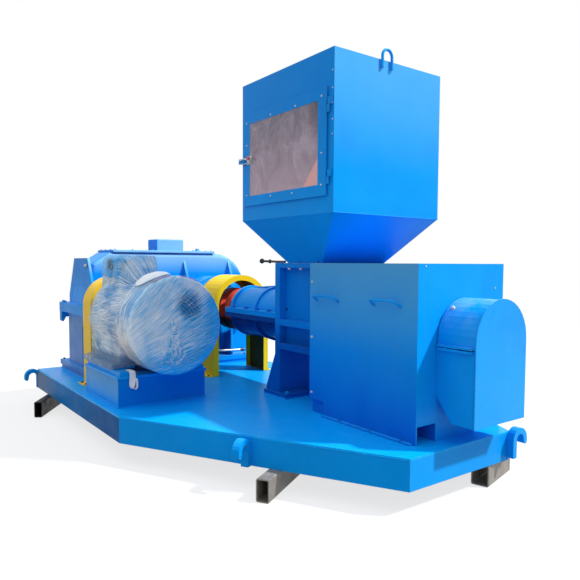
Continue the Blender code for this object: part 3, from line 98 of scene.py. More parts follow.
class Graph:
    """Short names for adding and linking shader nodes."""

    def __init__(self, name):
        self.mat = bpy.data.materials.new(name)
        self.mat.use_nodes = True
        self.tree = self.mat.node_tree
        self.shader = self.tree.nodes["Principled BSDF"]
        self.out = self.tree.nodes["Material Output"]
        self.coord = self.node("ShaderNodeTexCoord").outputs["Object"]
        self.normal = self.node("ShaderNodeNewGeometry").outputs["Normal"]

    def node(self, kind, feeds=None, **values):
        """A new node with its settings, and with values or links for its inputs."""
        made = self.tree.nodes.new(kind)
        for key, value in values.items():
            setattr(made, key, value)
        for key, value in (feeds or {}).items():
            self.feed(made.inputs[key], value)
        return made

    def link(self, source, target):
        self.tree.links.new(source, target)

    def feed(self, socket, value):
        if isinstance(value, bpy.types.NodeSocket):
            self.link(value, socket)
        elif isinstance(value, tuple) and len(value) == 3 and socket.type == "RGBA":
            socket.default_value = (*value, 1.0)
        else:
            socket.default_value = value

    def place(self, stretch):
        """The object's coordinates, each one multiplied where a stretch is given."""
        if stretch is None:
            return self.coord
        feeds = {"Scale": stretch, "Vector": self.coord}
        return self.node("ShaderNodeMapping", feeds).outputs["Vector"]

    def local(self, centre):
        """X, Y and Z of the surface, counted from a point of the row frame."""
        feeds = {0: self.coord, 1: centre}
        away = self.node("ShaderNodeVectorMath", feeds, operation="SUBTRACT").outputs["Vector"]
        return [self.part(away, i) for i in range(3)]

    def noise(self, scale, detail=4.0, rough=0.55, warp=0.0, stretch=None, vector=None):
        vector = vector or self.place(stretch)
        feeds = {"Scale": scale, "Detail": detail, "Roughness": rough, "Distortion": warp, "Vector": vector}
        return self.node("ShaderNodeTexNoise", feeds).outputs["Fac"]

    def streaks(self, across, along, detail=6.0):
        """Noise drawn out along one direction."""
        place = self.node("ShaderNodeCombineXYZ", {0: across, 1: along})
        return self.noise(1.0, detail, 0.62, 0.35, vector=place.outputs[0])

    def cells(self, scale, stretch=None, feature="F1"):
        feeds = {"Scale": scale, "Vector": self.place(stretch)}
        return self.node("ShaderNodeTexVoronoi", feeds, feature=feature).outputs["Distance"]

    def remap(self, value, low, high, to_low=0.0, to_high=1.0):
        feeds = {"Value": value, "From Min": low, "From Max": high, "To Min": to_low, "To Max": to_high}
        return self.node("ShaderNodeMapRange", feeds).outputs["Result"]

    def math(self, operation, *values):
        """One operation over two or more values, in turn."""
        result = values[0]
        for value in values[1:]:
            result = self.node("ShaderNodeMath", {0: result, 1: value}, operation=operation).outputs[0]
        return result

    def total(self, *values):
        return self.math("ADD", *values)

    def times(self, *values):
        return self.math("MULTIPLY", *values)

    def most(self, *values):
        return self.math("MAXIMUM", *values)

    def away(self, x, z):
        """The length of two parts together."""
        return self.math("SQRT", self.total(self.times(x, x), self.times(z, z)), 0.0)

    def blend(self, factor, a, b):
        """Two values mixed by a factor."""
        feeds = {"Factor": factor, "A": a, "B": b}
        return self.node("ShaderNodeMix", feeds, data_type="FLOAT").outputs["Result"]

    def mix(self, factor, a, b):
        """Two colours mixed by a factor."""
        made = self.node("ShaderNodeMix", data_type="RGBA")
        sockets = [s for s in made.inputs if s.enabled]
        for socket, value in zip(sockets, (factor, a, b)):
            self.feed(socket, value)
        return [s for s in made.outputs if s.enabled][0]

    def part(self, vector, index):
        return self.node("ShaderNodeSeparateXYZ", {0: vector}).outputs[index]

    def rounded(self, radius):
        return self.node("ShaderNodeBevel", {"Radius": radius}, samples=4).outputs["Normal"]

    def edges(self, radius):
        """A mask that is 1 where the surface turns sharply."""
        feeds = {0: self.rounded(radius), 1: self.normal}
        turn = self.node("ShaderNodeVectorMath", feeds, operation="DOT_PRODUCT")
        return self.remap(turn.outputs["Value"], 0.995, 0.90)

    def bump(self, height, strength, distance, normal=None):
        feeds = {"Height": height, "Strength": strength, "Distance": distance}
        if normal is not None:
            feeds["Normal"] = normal
        return self.node("ShaderNodeBump", feeds).outputs["Normal"]

    def seen_rays(self):
        """1 for rays from the camera, and for those in gloss and glass, which show the same background."""
        path = self.node("ShaderNodeLightPath").outputs
        return self.most(path["Is Camera Ray"], path["Is Glossy Ray"], path["Is Transmission Ray"])

    def blend_shaders(self, factor, first, second):
        return self.node("ShaderNodeMixShader", {0: factor, 1: first, 2: second}).outputs[0]

    def finish(self, **sockets):
        for key, value in sockets.items():
            self.feed(self.shader.inputs[key.replace("_", " ")], value)
        return self.mat


class SkyGraph(Graph):
    """The same short names for the world's nodes."""

    def __init__(self, world):
        world.use_nodes = True
        self.tree = world.node_tree
        self.tree.nodes.clear()


def shade(colour, factor):
    return tuple(min(c * factor, 1.0) for c in colour)


def paint(
    name, colour, rough=0.36, dust_and_sheen=0.05, wear=0.5, dust_and_sheen_colour=(0.34, 0.50, 0.62), wave=0.4, edge=0.0035,
    tint=(0.10, 0.55, 1.0), wall_dust=0.015, shine=0.17, inside=None, fades=(),
):
    """Sprayed machine paint: uneven tone, settled dust, runs, scuffs and worn edges, with a painted
    highlight along every edge; heavy pale dust on up-facing faces is also a painted highlight.

    A fade is its axis, where it starts and ends in the plan frame, its strength, its colour and the
    faces it is on. Most fades are painted light or shade: faces lighter or darker by height or side.
    """
    g = Graph(name)
    broad = g.noise(1.1, 5.0, 0.6, 0.4)
    tone = g.mix(g.remap(broad, 0.32, 0.68), shade(colour, 0.90), shade(colour, 1.06))
    runs = g.noise(1.0, 5.0, 0.6, 0.2, (9.0, 9.0, 0.9))
    tone = g.mix(g.remap(runs, 0.50, 0.78, 0.0, 0.14), tone, shade(colour, 0.74))
    fine = g.noise(38.0, 6.0, 0.7)
    tone = g.mix(g.remap(fine, 0.42, 0.75, 0.0, 0.08), tone, shade(colour, 1.20))
    uneven = g.remap(g.noise(1.6, 4.0), 0.30, 0.70, 0.75, 1.15)
    # Fades: bands lighter or darker by height or side, mostly painted light or shade
    for axis, start, end, amount, pale, facing in fades:
        start, end = start + ORIGIN[axis], end + ORIGIN[axis]
        share = g.times(g.remap(g.part(g.coord, axis), start, end, 0.0, amount), uneven)
        if facing != ANY:
            side, sign = facing
            share = g.times(share, g.remap(g.times(g.part(g.normal, side), sign), 0.5, 0.8))
        tone = g.mix(share, tone, pale)
    # Dust on up-facing faces; where it is heavy and pale, as on the gear case and shaft guard, it is also a
    # painted highlight
    up = g.remap(g.part(g.normal, 2), 0.15, 0.95)
    patch = g.noise(4.2, 8.0, 0.72, 0.8)
    settled_dust_and_sheen = g.total(g.times(up, dust_and_sheen), wall_dust)
    film = g.times(settled_dust_and_sheen, g.remap(patch, 0.40, 0.74))
    tone = g.mix(film, tone, dust_and_sheen_colour)
    edge_mask = g.edges(edge * 1.6)
    chips = g.remap(g.noise(26.0, 7.0, 0.75), 0.53, 0.60)
    worn = g.times(edge_mask, chips, wear)
    tone = g.mix(worn, tone, (colour[0] + 0.14, colour[1] + 0.14, min(colour[2] + 0.05, 1.0)))
    # Painted highlight: every sharp edge a little lighter
    lift = g.times(edge_mask, 0.22)
    tone = g.mix(lift, tone, shade((colour[0] + 0.03, colour[1] + 0.12, colour[2] + 0.08), 1.25))
    scratch = g.remap(g.cells(6.0, (1.0, 1.0, 9.0), "DISTANCE_TO_EDGE"), 0.0, 0.006, 1.0, 0.0)
    rare = g.remap(g.noise(2.3, 3.0), 0.56, 0.66)
    scratch = g.times(scratch, rare, 0.16 * wear)
    tone = g.mix(scratch, tone, shade((colour[0] + 0.2, colour[1] + 0.2, colour[2] + 0.1), 1.0))
    # Painted shade: the inner faces of an arch turn near black
    if inside is not None:
        tone = g.mix(arch_inner_shade(g, inside), tone, (0.020, 0.014, 0.010))
    gloss = g.total(g.remap(g.noise(7.0, 6.0, 0.65), 0.3, 0.7, rough - 0.06, rough + 0.09), film)
    peel = g.bump(g.noise(210.0, 3.0), 0.08, 0.0012, g.rounded(edge))
    normal = g.bump(g.noise(1.7, 2.0, 0.4), wave, 0.012, peel)
    return g.finish(
        Base_Color=tone, Roughness=gloss, Normal=normal, Specular_Tint=tint, Specular_IOR_Level=shine,
    )


def arch_inner_shade(g, centre):
    """A mask that is 1 on the inner side of an arch, where a face looks at the arch's axis; paint uses it
    for painted shade.
    """
    x, _, z = g.local(centre)
    above = g.most(z, 0.0)
    away = g.total(g.times(x, g.part(g.normal, 0)), g.times(above, g.part(g.normal, 2)))
    return g.remap(away, -0.02, -0.10, 0.0, 0.92)


def bare_steel(name, colour, rust=0.3, rough=0.5):
    """Mill-finish steel with rust bloom."""
    g = Graph(name)
    tone = g.mix(g.remap(g.noise(9.0, 8.0, 0.7), 0.35, 0.7), shade(colour, 0.72), shade(colour, 1.15))
    bloom = g.remap(g.noise(6.0, 9.0, 0.78, 0.7), 0.50, 0.66, 0.0, rust)
    tone = g.mix(bloom, tone, (0.165, 0.075, 0.030))
    gloss = g.remap(g.noise(18.0, 6.0), 0.3, 0.7, rough - 0.12, rough + 0.16)
    normal = g.bump(g.noise(70.0, 6.0, 0.7), 0.25, 0.002, g.rounded(0.002))
    return g.finish(Base_Color=tone, Roughness=gloss, Metallic=0.35, Normal=normal)


def plastic(name, colour, rough=0.35):
    g = Graph(name)
    tone = g.mix(g.remap(g.noise(30.0, 5.0), 0.35, 0.7), shade(colour, 0.85), shade(colour, 1.2))
    gloss = g.remap(g.noise(45.0, 5.0), 0.3, 0.7, rough - 0.08, rough + 0.12)
    normal = g.bump(g.noise(160.0, 4.0), 0.12, 0.001, g.rounded(0.0015))
    return g.finish(Base_Color=tone, Roughness=gloss, Normal=normal)


def film_streaks(g, x, y, z, end, body_part, broad):
    """Folds of the film: round the body they fan out from its rear, on its front from its lower left."""
    turn = g.math("ARCTAN2", x, z)
    bent = g.times(broad, 5.5)
    fan = g.math("DIVIDE", g.total(turn, FOLD_TURN), g.math("SUBTRACT", FOLD_END, y))
    round_body = g.streaks(g.total(g.times(fan, 160.0), bent), g.times(y, 5.0))
    band = g.streaks(g.times(y, 70.0), g.times(turn, 2.0), 3.0)
    ray = g.math("ARCTAN2", g.total(z, FOLD_BELOW), g.total(x, FOLD_LEFT))
    pulled = g.streaks(g.total(g.times(ray, 240.0), bent), g.times(g.total(x, z), 4.0))
    return g.blend(end, g.blend(body_part, band, round_body), pulled)


def film_knot(g, x, z, end):
    """The low knot on the front, which widens towards its foot."""
    below = g.most(g.times(g.total(z, 0.04), -1.0), 0.0)
    width = g.total(0.040, g.times(below, 0.30))
    aside = g.math("DIVIDE", g.math("ABSOLUTE", g.math("SUBTRACT", x, KNOT_X), 0.0), width)
    return g.times(g.remap(aside, 1.25, 0.55), g.remap(z, 0.07, 0.01), g.remap(z, -0.315, -0.275), end)


def film_rim(g, x, y, z):
    """Where the blue cowl shows at the rim, and the clear film inside it, both at the lower right."""
    away = g.away(x, z)
    lower_right = g.total(g.times(x, 0.74), g.times(z, -0.67))
    towards = g.math("DIVIDE", lower_right, g.most(away, 0.01))
    rim = g.times(g.remap(away, 0.225, 0.325), g.remap(towards, -0.05, 0.30), g.remap(y, 0.33, 0.27))
    clear = g.times(g.remap(away, 0.10, 0.26), g.remap(towards, 0.10, 0.80))
    return rim, clear


def film_hole(g, x, z, end):
    """Where the front is clearer over the dark fan grille, and its colour darker as painted shade of the
    intake.
    """
    away = g.away(g.total(x, -0.095), g.total(z, -0.165))
    return g.times(g.remap(away, 0.135, 0.060), end)


def film_material():
    """Clear stretch film in many layers: streaked and milky on its folds, clearer between them, with
    painted highlights on its brightest folds and painted shade at its foot.
    """
    g = Graph("packing_film_skin")
    x, y, z = g.local(at(FILM_X, 0.0, FILM_Z))
    end = g.remap(y, 0.050, 0.020)
    body_part = g.remap(y, 0.26, 0.36)
    broad = g.noise(3.2, 5.0, 0.6, 0.6)
    streak = film_streaks(g, x, y, z, end, body_part, broad)
    knot = film_knot(g, x, z, end)
    crumple = g.noise(15.0, 8.0, 0.75, 2.6, (1.0, 1.0, 0.5))
    rim, clear = film_rim(g, x, y, z)
    hole = film_hole(g, x, z, end)
    window = g.times(g.remap(z, 0.345, 0.385), g.remap(x, 0.02, -0.03), g.remap(y, 0.57, 0.61))
    foot = g.times(g.remap(z, -0.235, -0.280), body_part)

    milk = g.most(g.remap(g.total(x, g.times(z, -0.55)), 0.08, -0.22), g.remap(z, 0.17, 0.29))
    milk = g.times(milk, g.math("SUBTRACT", 1.0, rim))
    on_front = g.total(0.36, g.times(milk, 0.36), g.times(hole, -0.42), g.times(clear, -0.30))
    on_body = g.total(0.56, g.times(window, -0.44))
    on_cowl = g.times(g.math("SUBTRACT", 1.0, end), g.math("SUBTRACT", 1.0, body_part))
    calm = g.total(1.0, g.times(milk, end, -0.35), g.times(on_cowl, -0.55))
    contrast = g.times(g.remap(streak, 0.43, 0.58, -0.45, 0.52), calm)
    cloudy = g.remap(broad, 0.38, 0.62, -0.26, 0.26)
    haze = g.total(g.blend(end, on_body, on_front), contrast, cloudy)
    haze = g.blend(g.times(knot, 0.85), haze, g.remap(crumple, 0.45, 0.56, 0.0, 1.1))
    haze = g.math("MINIMUM", g.most(haze, 0.0), 1.0)

    tone = g.mix(haze, (0.010, 0.56, 1.0), (0.95, 0.99, 1.0))
    lower_left = g.remap(g.math("ARCTAN2", x, z), -1.3, -1.9)
    warm = g.times(lower_left, g.remap(y, 0.03, 0.10), g.remap(y, 0.62, 0.36))
    tone = g.mix(g.times(warm, 0.75), tone, (0.98, 0.84, 0.70))
    # Painted shade of the fan's intake, darkening the film over the grille
    tone = g.mix(g.times(hole, 0.55), tone, (0.05, 0.13, 0.24))
    tone = g.mix(g.times(rim, 0.90), tone, (0.001, 0.500, 1.0))
    # Painted shade: dark blue at the film's foot, low on the motor's sides
    tone = g.mix(g.times(foot, 0.85), tone, (0.010, 0.120, 0.300))
    cover = g.most(g.times(rim, 0.94), g.times(foot, 0.85))
    least = g.total(0.30, g.times(end, 0.40), g.times(hole, -0.34))
    alpha = g.most(g.blend(haze, least, 0.92), cover)

    # The brightest folds are painted highlights: thin white lines grouped in patches, and white glints on
    # the knot's crumples
    grouped = g.remap(g.noise(6.5, 4.0, 0.6), 0.44, 0.60)
    shine = g.times(g.remap(streak, 0.565, 0.620), grouped)
    shine = g.most(shine, g.times(knot, g.remap(crumple, 0.53, 0.57)))
    tone = g.mix(shine, tone, (1.0, 1.0, 1.0))
    alpha = g.most(alpha, g.times(shine, 0.92))
    small = g.bump(g.noise(24.0, 7.0, 0.7, 1.0), 0.30, 0.008)
    normal = g.bump(g.total(streak, g.times(knot, crumple)), 0.9, 0.010, small)
    layers = g.times(haze, g.total(1.0, g.times(rim, -0.8)), 0.20)
    return g.finish(Base_Color=tone, Metallic=layers, Alpha=alpha, Roughness=0.26, Normal=normal, IOR=1.50)


def glass_material():
    """Scratched sheet with painted light behind it: the hopper's shaded inside, and a patch of sunlight at
    its lower front corner.
    """
    g = Graph("scratched_sheet_painted_light")
    _, y, z = g.local(at(0.0, -0.755, 1.692))
    # Painted shade: the hopper's dark inside seen through the sheet, darker towards the top and, at mid
    # height, towards the front
    rise = g.remap(z, 0.0, 0.58)
    shaded_inside_view = g.mix(rise, (0.480, 0.300, 0.350), (0.080, 0.066, 0.110))
    cloud = g.remap(g.noise(3.6, 8.0, 0.68, 0.9), 0.36, 0.68)
    shaded_inside_view = g.mix(g.times(cloud, 0.55), shaded_inside_view, (0.760, 0.620, 0.720))
    shaded_inside_view = g.mix(g.times(g.remap(y, -0.02, -0.17), g.remap(z, 0.25, 0.55), 0.8), shaded_inside_view, (0.05, 0.045, 0.07))
    # Painted light: a warm patch of sunlight on the hopper's inner wall, at the sheet's lower front corner
    sunlit_patch_edge = g.total(z, g.times(y, 1.145))
    warm = g.remap(sunlit_patch_edge, 0.012, -0.010)
    tone = g.mix(g.times(warm, 0.92), shaded_inside_view, (1.0, 0.480, 0.430))
    specks = g.remap(g.noise(31.0, 9.0, 0.86), 0.655, 0.70)
    gathered = g.remap(g.noise(2.6, 3.0), 0.46, 0.60)
    tone = g.mix(g.times(specks, gathered), tone, (1.0, 0.97, 1.0))
    hair = g.remap(g.cells(7.0, (1.0, 1.0, 0.30), "DISTANCE_TO_EDGE"), 0.0, 0.010, 0.5, 0.0)
    tone = g.mix(g.times(hair, gathered), tone, (0.85, 0.78, 0.84))
    gloss = g.remap(cloud, 0.0, 1.0, 0.14, 0.34)
    normal = g.bump(g.noise(1.2, 2.0), 0.15, 0.008)
    return g.finish(Base_Color=tone, Alpha=0.93, Roughness=gloss, Normal=normal)


def foam_material():
    g = Graph("white_foam")
    tone = g.mix(g.remap(g.noise(22.0, 6.0, 0.7), 0.4, 0.7), (0.97, 0.98, 1.0), (0.80, 0.88, 0.95))
    normal = g.bump(g.cells(85.0), 0.45, 0.003)
    return g.finish(Base_Color=tone, Roughness=0.6, Normal=normal)


def webbing_material():
    g = Graph("sling_webbing")
    feeds = {"Scale": 150.0, "Vector": g.coord}
    weave = g.node("ShaderNodeTexWave", feeds, wave_type="BANDS", bands_direction="Z").outputs["Fac"]
    tone = g.mix(g.remap(weave, 0.2, 0.8), (0.80, 0.82, 0.86), (0.97, 0.98, 1.0))
    tone = g.mix(g.remap(g.noise(14.0, 7.0, 0.7), 0.48, 0.75, 0.0, 0.3), tone, (0.42, 0.44, 0.47))
    normal = g.bump(weave, 0.5, 0.0015)
    return g.finish(Base_Color=tone, Roughness=0.85, Normal=normal)


BLUE = (0.0012, 0.325, 0.890)
MATERIALS = {
    "blue": paint("blue_paint", BLUE),
    # Painted light and shade: paler towards the top and darker towards the bottom of the front faces,
    # darker towards the top of the left faces
    "hopper": paint("hopper_paint", BLUE, wear=0.4, fades=[
        (2, 1.80, 2.62, 0.42, (0.190, 0.560, 0.930), FRONT),
        (2, 1.60, 1.25, 0.40, (0.001, 0.110, 0.460), FRONT),
        (2, 1.50, 2.40, 0.35, (0.001, 0.180, 0.700), LEFT),
    ]),
    # Painted light and shade on the housing's left faces: paler and greyer towards the top, darker towards
    # the bottom
    "box": paint("box_paint", BLUE, wear=0.4, shine=0.16, fades=[
        (2, 0.50, 1.14, 0.75, (0.130, 0.400, 0.620), LEFT),
        (2, 0.75, 0.05, 0.75, (0.001, 0.110, 0.600), LEFT),
    ]),
    # Painted light: a lighter copy of the blue for the deck's top
    "deck": paint("deck_paint", (0.0008, 0.390, 1.0), 0.34, 0.015, 0.8, wave=0.35),
    # The skid's left side: a darker copy of the blue as painted shade, darker still towards its front, with
    # grey dust towards its rear
    "side": paint("skid_side_paint", (0.0015, 0.180, 0.520), 0.50, 0.10, 0.9, shine=0.08, fades=[
        (1, 1.6, 2.4, 0.85, (0.200, 0.215, 0.230), LEFT),
        (1, 1.5, 0.2, 0.80, (0.004, 0.070, 0.250), LEFT),
    ]),
    # Painted light and shade on the gear case: a dark band under the split flange, darker towards the top
    # of the left faces, and a painted highlight paler towards the top of the front faces; its heavy pale
    # dust is partly a painted highlight too
    "case": paint(
        "case_paint", (0.001, 0.300, 0.850), 0.34, 0.30, 0.6, (0.60, 0.74, 0.85), wave=0.8, edge=0.006,
        shine=0.08,
        fades=[
            (2, 0.63, 0.56, 0.60, (0.110, 0.150, 0.290), LEFT),
            (2, 0.80, 1.20, 0.55, (0.002, 0.180, 0.640), LEFT),
            (2, 1.02, 1.20, 0.50, (0.520, 0.800, 0.960), FRONT),
        ],
    ),
    # Its heavy pale dust on up-facing faces is partly a painted highlight on the cover's crown
    "guard": paint(
        "guard_paint", BLUE, 0.30, 0.45, 0.5, (0.52, 0.72, 0.86), tint=(0.25, 0.65, 1.0), shine=0.32,
    ),
    # Painted light and shade on the motor stand: paler towards the top of its left faces, darker towards
    # the bottom of its front faces
    "stand": paint("stand_paint", BLUE, wear=0.4, shine=0.10, fades=[
        (2, 0.02, 0.22, 0.60, (0.100, 0.330, 0.560), LEFT),
        (2, 0.30, 0.16, 0.60, (0.001, 0.120, 0.600), FRONT),
    ]),
    # Painted shade: a darker copy of the blue for the recessed chamber and pedestal, darker still towards
    # the bottom
    "chamber": paint("chamber_paint", (0.0012, 0.250, 0.780), wear=0.4, fades=[
        (2, 0.66, 0.50, 0.80, (0.001, 0.070, 0.380), ANY),
    ]),
    "deep": paint("deep_paint", (0.002, 0.200, 0.660), 0.33, 0.18, 0.5, edge=0.004),
    # Painted shade: a dark copy of the blue for the barrel's lower half, the nuts under its flange and the
    # fan cowl's intake
    "shade_blue": paint("shade_blue_paint", (0.002, 0.062, 0.300), 0.36, 0.20, 0.5, edge=0.004),
    "motor": paint("motor_paint", (0.004, 0.400, 0.950), 0.36, 0.10, 0.4),
    "yellow": paint(
        "yellow_paint", (1.0, 0.590, 0.030), 0.42, 0.10, 0.4, (0.75, 0.62, 0.40), tint=(1.0, 0.85, 0.5)
    ),
    # Painted shade: the arch's inner faces turn near black
    "yellow_arch": paint(
        "yellow_arch_paint", (1.0, 0.640, 0.012), 0.42, 0.10, 0.4, (0.75, 0.62, 0.40),
        tint=(1.0, 0.85, 0.5), inside=at(*ARCH_AXIS),
    ),
    "red": paint(
        "red_paint", (0.930, 0.095, 0.045), 0.40, 0.10, 0.5, (0.60, 0.36, 0.30), tint=(1.0, 0.6, 0.5),
        fades=[(2, 0.62, 0.57, 0.96, (0.010, 0.010, 0.012), ANY)],
    ),
    "black": plastic("black_grip", (0.012, 0.012, 0.014), 0.28),
    "zinc": bare_steel("zinc_bolts", (0.66, 0.67, 0.68), 0.10, 0.30),
    "dark_bolt": bare_steel("dark_bolts", (0.035, 0.036, 0.040), 0.25, 0.45),
    "tube": bare_steel("tube_steel_mill", (0.300, 0.280, 0.250), 0.30, 0.55),
    "tube_black": bare_steel("tube_steel_black", (0.022, 0.021, 0.022), 0.30, 0.50),
    "knob": plastic("reddish_knob", (0.62, 0.16, 0.18), 0.4),
    "tape": plastic("red_tape", (0.85, 0.12, 0.10), 0.4),
    "film": film_material(),
    "foam": foam_material(),
    "glass": glass_material(),
    "webbing": webbing_material(),
}


def wear(node, key):
    """Gives a carried-over CAD node its material."""
    mesh = NODES[node].data
    if mesh.materials:
        for index in range(len(mesh.materials)):
            mesh.materials[index] = MATERIALS[key]
    else:
        mesh.materials.append(MATERIALS[key])


PAINTED = {
    "deck": ("deck_plate",),
    "side": ("skid_left",),
    "stand": ("motor_stand",),
    "film": ("motor_wrap",),
    "red": ("input_coupling", "output_coupling"),
    "yellow": ("input_guard",),
    "yellow_arch": ("output_guard",),
    # Painted shade: the barrel's lower half in the dark copy of the blue
    "shade_blue": ("barrel_lower",),
    "chamber": ("feed_chamber", "barrel_pedestal"),
    "box": ("housing",),
    "guard": ("shaft_guard_cover",),
    "hopper": ("hopper_box", "hopper_funnel", "hopper_door"),
    "glass": ("door_glass",),
    "black": ("gate_lever",),
    "tube": ("support_tube_middle", "support_tube_front", "support_tube_rear"),
    "tube_black": ("support_tube_left",),
    "motor": ("motor_body", "motor_fan_cowl", "motor_terminal_box"),
}


def dress_frame():
    """The case paint on the reducer's nodes, and blue on each other node that the list leaves out."""
    keys = {node: key for key, nodes in PAINTED.items() for node in nodes}
    for node in NODES:
        wear(node, "case" if node.startswith("reducer") else keys.get(node, "blue"))


# Mesh helpers for the added pieces

def add_piece(name, bm, key, body="machine", smooth=40):
    """Turns a mesh into a named piece with its material, smooth up to an angle, riding on a body."""
    bmesh.ops.recalc_face_normals(bm, faces=bm.faces)
    mesh = bpy.data.meshes.new(name)
    bm.to_mesh(mesh)
    bm.free()
    mesh.materials.append(MATERIALS[key])
    obj = bpy.data.objects.new(name, mesh)
    bpy.context.scene.collection.objects.link(obj)
    mesh.shade_smooth()
    mesh.set_sharp_from_angle(angle=math.radians(smooth))
    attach(obj, body)
    return obj


def aim(direction):
    return Vector(direction).normalized().to_track_quat("Z", "Y").to_matrix().to_4x4()


def add_lathe(bm, centre, direction, profile, segments=40, closed=False):
    """A turned piece about a direction, from pairs of radius and height."""
    matrix = Matrix.Translation(Vector(centre)) @ aim(direction)
    rings = []
    for radius, height in profile:
        if radius == 0:
            rings.append([bm.verts.new(matrix @ Vector((0.0, 0.0, height)))])
            continue
        ring = []
        for k in range(segments):
            a = 2 * math.pi * k / segments
            ring.append(bm.verts.new(matrix @ Vector((radius * math.cos(a), radius * math.sin(a), height))))
        rings.append(ring)
    pairs = list(zip(rings, rings[1:]))
    if closed:
        pairs.append((rings[-1], rings[0]))
    for a, b in pairs:
        for k in range(segments):
            following = (k + 1) % segments
            if len(a) == 1:
                bm.faces.new((a[0], b[k], b[following]))
            elif len(b) == 1:
                bm.faces.new((a[k], a[following], b[0]))
            else:
                bm.faces.new((a[k], a[following], b[following], b[k]))


def turned(name, centre, direction, profile, key, body="machine", smooth=40, segments=20, closed=False):
    """A turned piece of its own."""
    bm = bmesh.new()
    add_lathe(bm, centre, direction, profile, segments, closed)
    return add_piece(name, bm, key, body, smooth)


def add_cover(bm, centre, direction, inner, outer, thickness, segments=48):
    """Flat bearing cover with a broken edge and a low raised middle, whole or with a hole."""
    edge = 0.003
    if inner == 0:
        raised = outer * 0.60
        profile = [
            (0.0, 0.0), (outer, 0.0), (outer, thickness - edge), (outer - edge, thickness),
            (raised, thickness), (raised - edge, thickness + 0.006), (0.0, thickness + 0.006),
        ]
        add_lathe(bm, centre, direction, profile, segments)
        return
    profile = [
        (inner, 0.0), (outer, 0.0), (outer, thickness - edge), (outer - edge, thickness),
        (inner + 0.020, thickness), (inner + 0.018, thickness + 0.008), (inner, thickness + 0.008),
    ]
    add_lathe(bm, centre, direction, profile, segments, True)


def add_disc(bm, centre, direction, r1, r2, length, segments=20, spin=0.0):
    """A capped round or many-sided piece that starts at a point and runs along a direction."""
    matrix = Matrix.Translation(centre) @ aim(direction) @ Matrix.Rotation(spin, 4, "Z")
    matrix = matrix @ Matrix.Translation((0.0, 0.0, length / 2))
    bmesh.ops.create_cone(
        bm, cap_ends=True, segments=segments, radius1=r1, radius2=r2, depth=length, matrix=matrix
    )


def add_bolt(bm, seat, direction, size, spin=0.3):
    """Hexagon bolt with its washer and chamfered head; size is the thread's diameter."""
    n = Vector(direction).normalized()
    seat = Vector(seat) + n * STAND_OFF
    add_disc(bm, seat, n, size * 1.12, size * 1.10, size * 0.16)
    head = seat + n * size * 0.16
    add_disc(bm, head, n, size * 0.90, size * 0.90, size * 0.56, 6, spin)
    add_disc(bm, head + n * size * 0.56, n, size * 0.86, size * 0.72, size * 0.07, 18)
    add_disc(bm, head + n * size * 0.60, n, size * 0.50, size * 0.44, size * 0.22, 12)


def add_screw(bm, seat, direction, size):
    """Small domed screw head."""
    dome = ((0.0, 0.0), (1.0, 0.0), (0.96, 0.28), (0.6, 0.52), (0.0, 0.60))
    profile = [(size * r, size * h) for r, h in dome]
    add_lathe(bm, Vector(seat) + Vector(direction) * STAND_OFF, direction, profile, 14)


def bolts(name, seats, direction, size, key="blue", body="machine"):
    bm = bmesh.new()
    for k, seat in enumerate(seats):
        add_bolt(bm, seat, direction, size, 0.3 + 0.41 * k)
    return add_piece(name, bm, key, body, 30)


def screws(name, seats, direction, size, key="zinc", body="machine"):
    bm = bmesh.new()
    for seat in seats:
        add_screw(bm, seat, direction, size)
    return add_piece(name, bm, key, body, 50)


def seats_round(count, x, y, radius):
    """Seats spread round a shaft, whose axis runs along Y at the shafts' height."""
    angles = [math.pi * (2 * k + 1) / count for k in range(count)]
    return [at(x + radius * math.cos(a), y, AXIS_Z + radius * math.sin(a)) for a in angles]


def rectangle(low, high, z):
    """A closed path round a box of the plan frame, at one height."""
    corners = ((low.x, low.y), (high.x, low.y), (high.x, high.y), (low.x, high.y), (low.x, low.y))
    return [at(x, y, z) for x, y in corners]


def join_rings(bm, rings, closed=True):
    """Faces between neighbouring rings, or between open rows."""
    for a, b in zip(rings, rings[1:]):
        count = len(a)
        for k in range(count if closed else count - 1):
            following = (k + 1) % count
            bm.faces.new((a[k], a[following], b[following], b[k]))


def thicken(obj, thickness, offset=-1.0):
    """Gives a thin piece its real thickness."""
    thick = obj.modifiers.new("thick", "SOLIDIFY")
    thick.thickness = thickness
    thick.offset = offset


def add_block(bm, low, high, bevel=0.0):
    """A block between two corners, its edges broken by a bevel."""
    low, high = Vector(low), Vector(high)
    matrix = Matrix.Translation((low + high) / 2) @ Matrix.Diagonal((*(high - low), 1.0))
    made = bmesh.ops.create_cube(bm, size=1.0, matrix=matrix)
    if bevel > 0:
        edges = list({e for v in made["verts"] for e in v.link_edges})
        bmesh.ops.bevel(bm, geom=edges, offset=bevel, segments=2, profile=0.5, affect="EDGES")


def add_tube(bm, points, radius, segments=10, ripple=0.0, step=None):
    """A round bar along points; with a ripple it is a weld bead."""
    path = [Vector(p) for p in points]
    if step:
        path = resample(path, step)
    rings = []
    for i, point in enumerate(path):
        ahead = path[min(i + 1, len(path) - 1)] - path[max(i - 1, 0)]
        ahead.normalize()
        side = ahead.cross(Vector((0.0, 0.0, 1.0)))
        if side.length < 0.2:
            side = ahead.cross(Vector((1.0, 0.0, 0.0)))
        side.normalize()
        up = side.cross(ahead)
        swell = 1.0
        if ripple:
            swell += ripple * math.sin(i * 2.1) + ripple * 1.4 * noise.noise(point * 37.0)
        ring = []
        for k in range(segments):
            a = 2 * math.pi * k / segments
            ring.append(bm.verts.new(point + (side * math.cos(a) + up * math.sin(a)) * radius * swell))
        rings.append(ring)
    join_rings(bm, rings)
    bm.faces.new(rings[0])
    bm.faces.new(rings[-1])


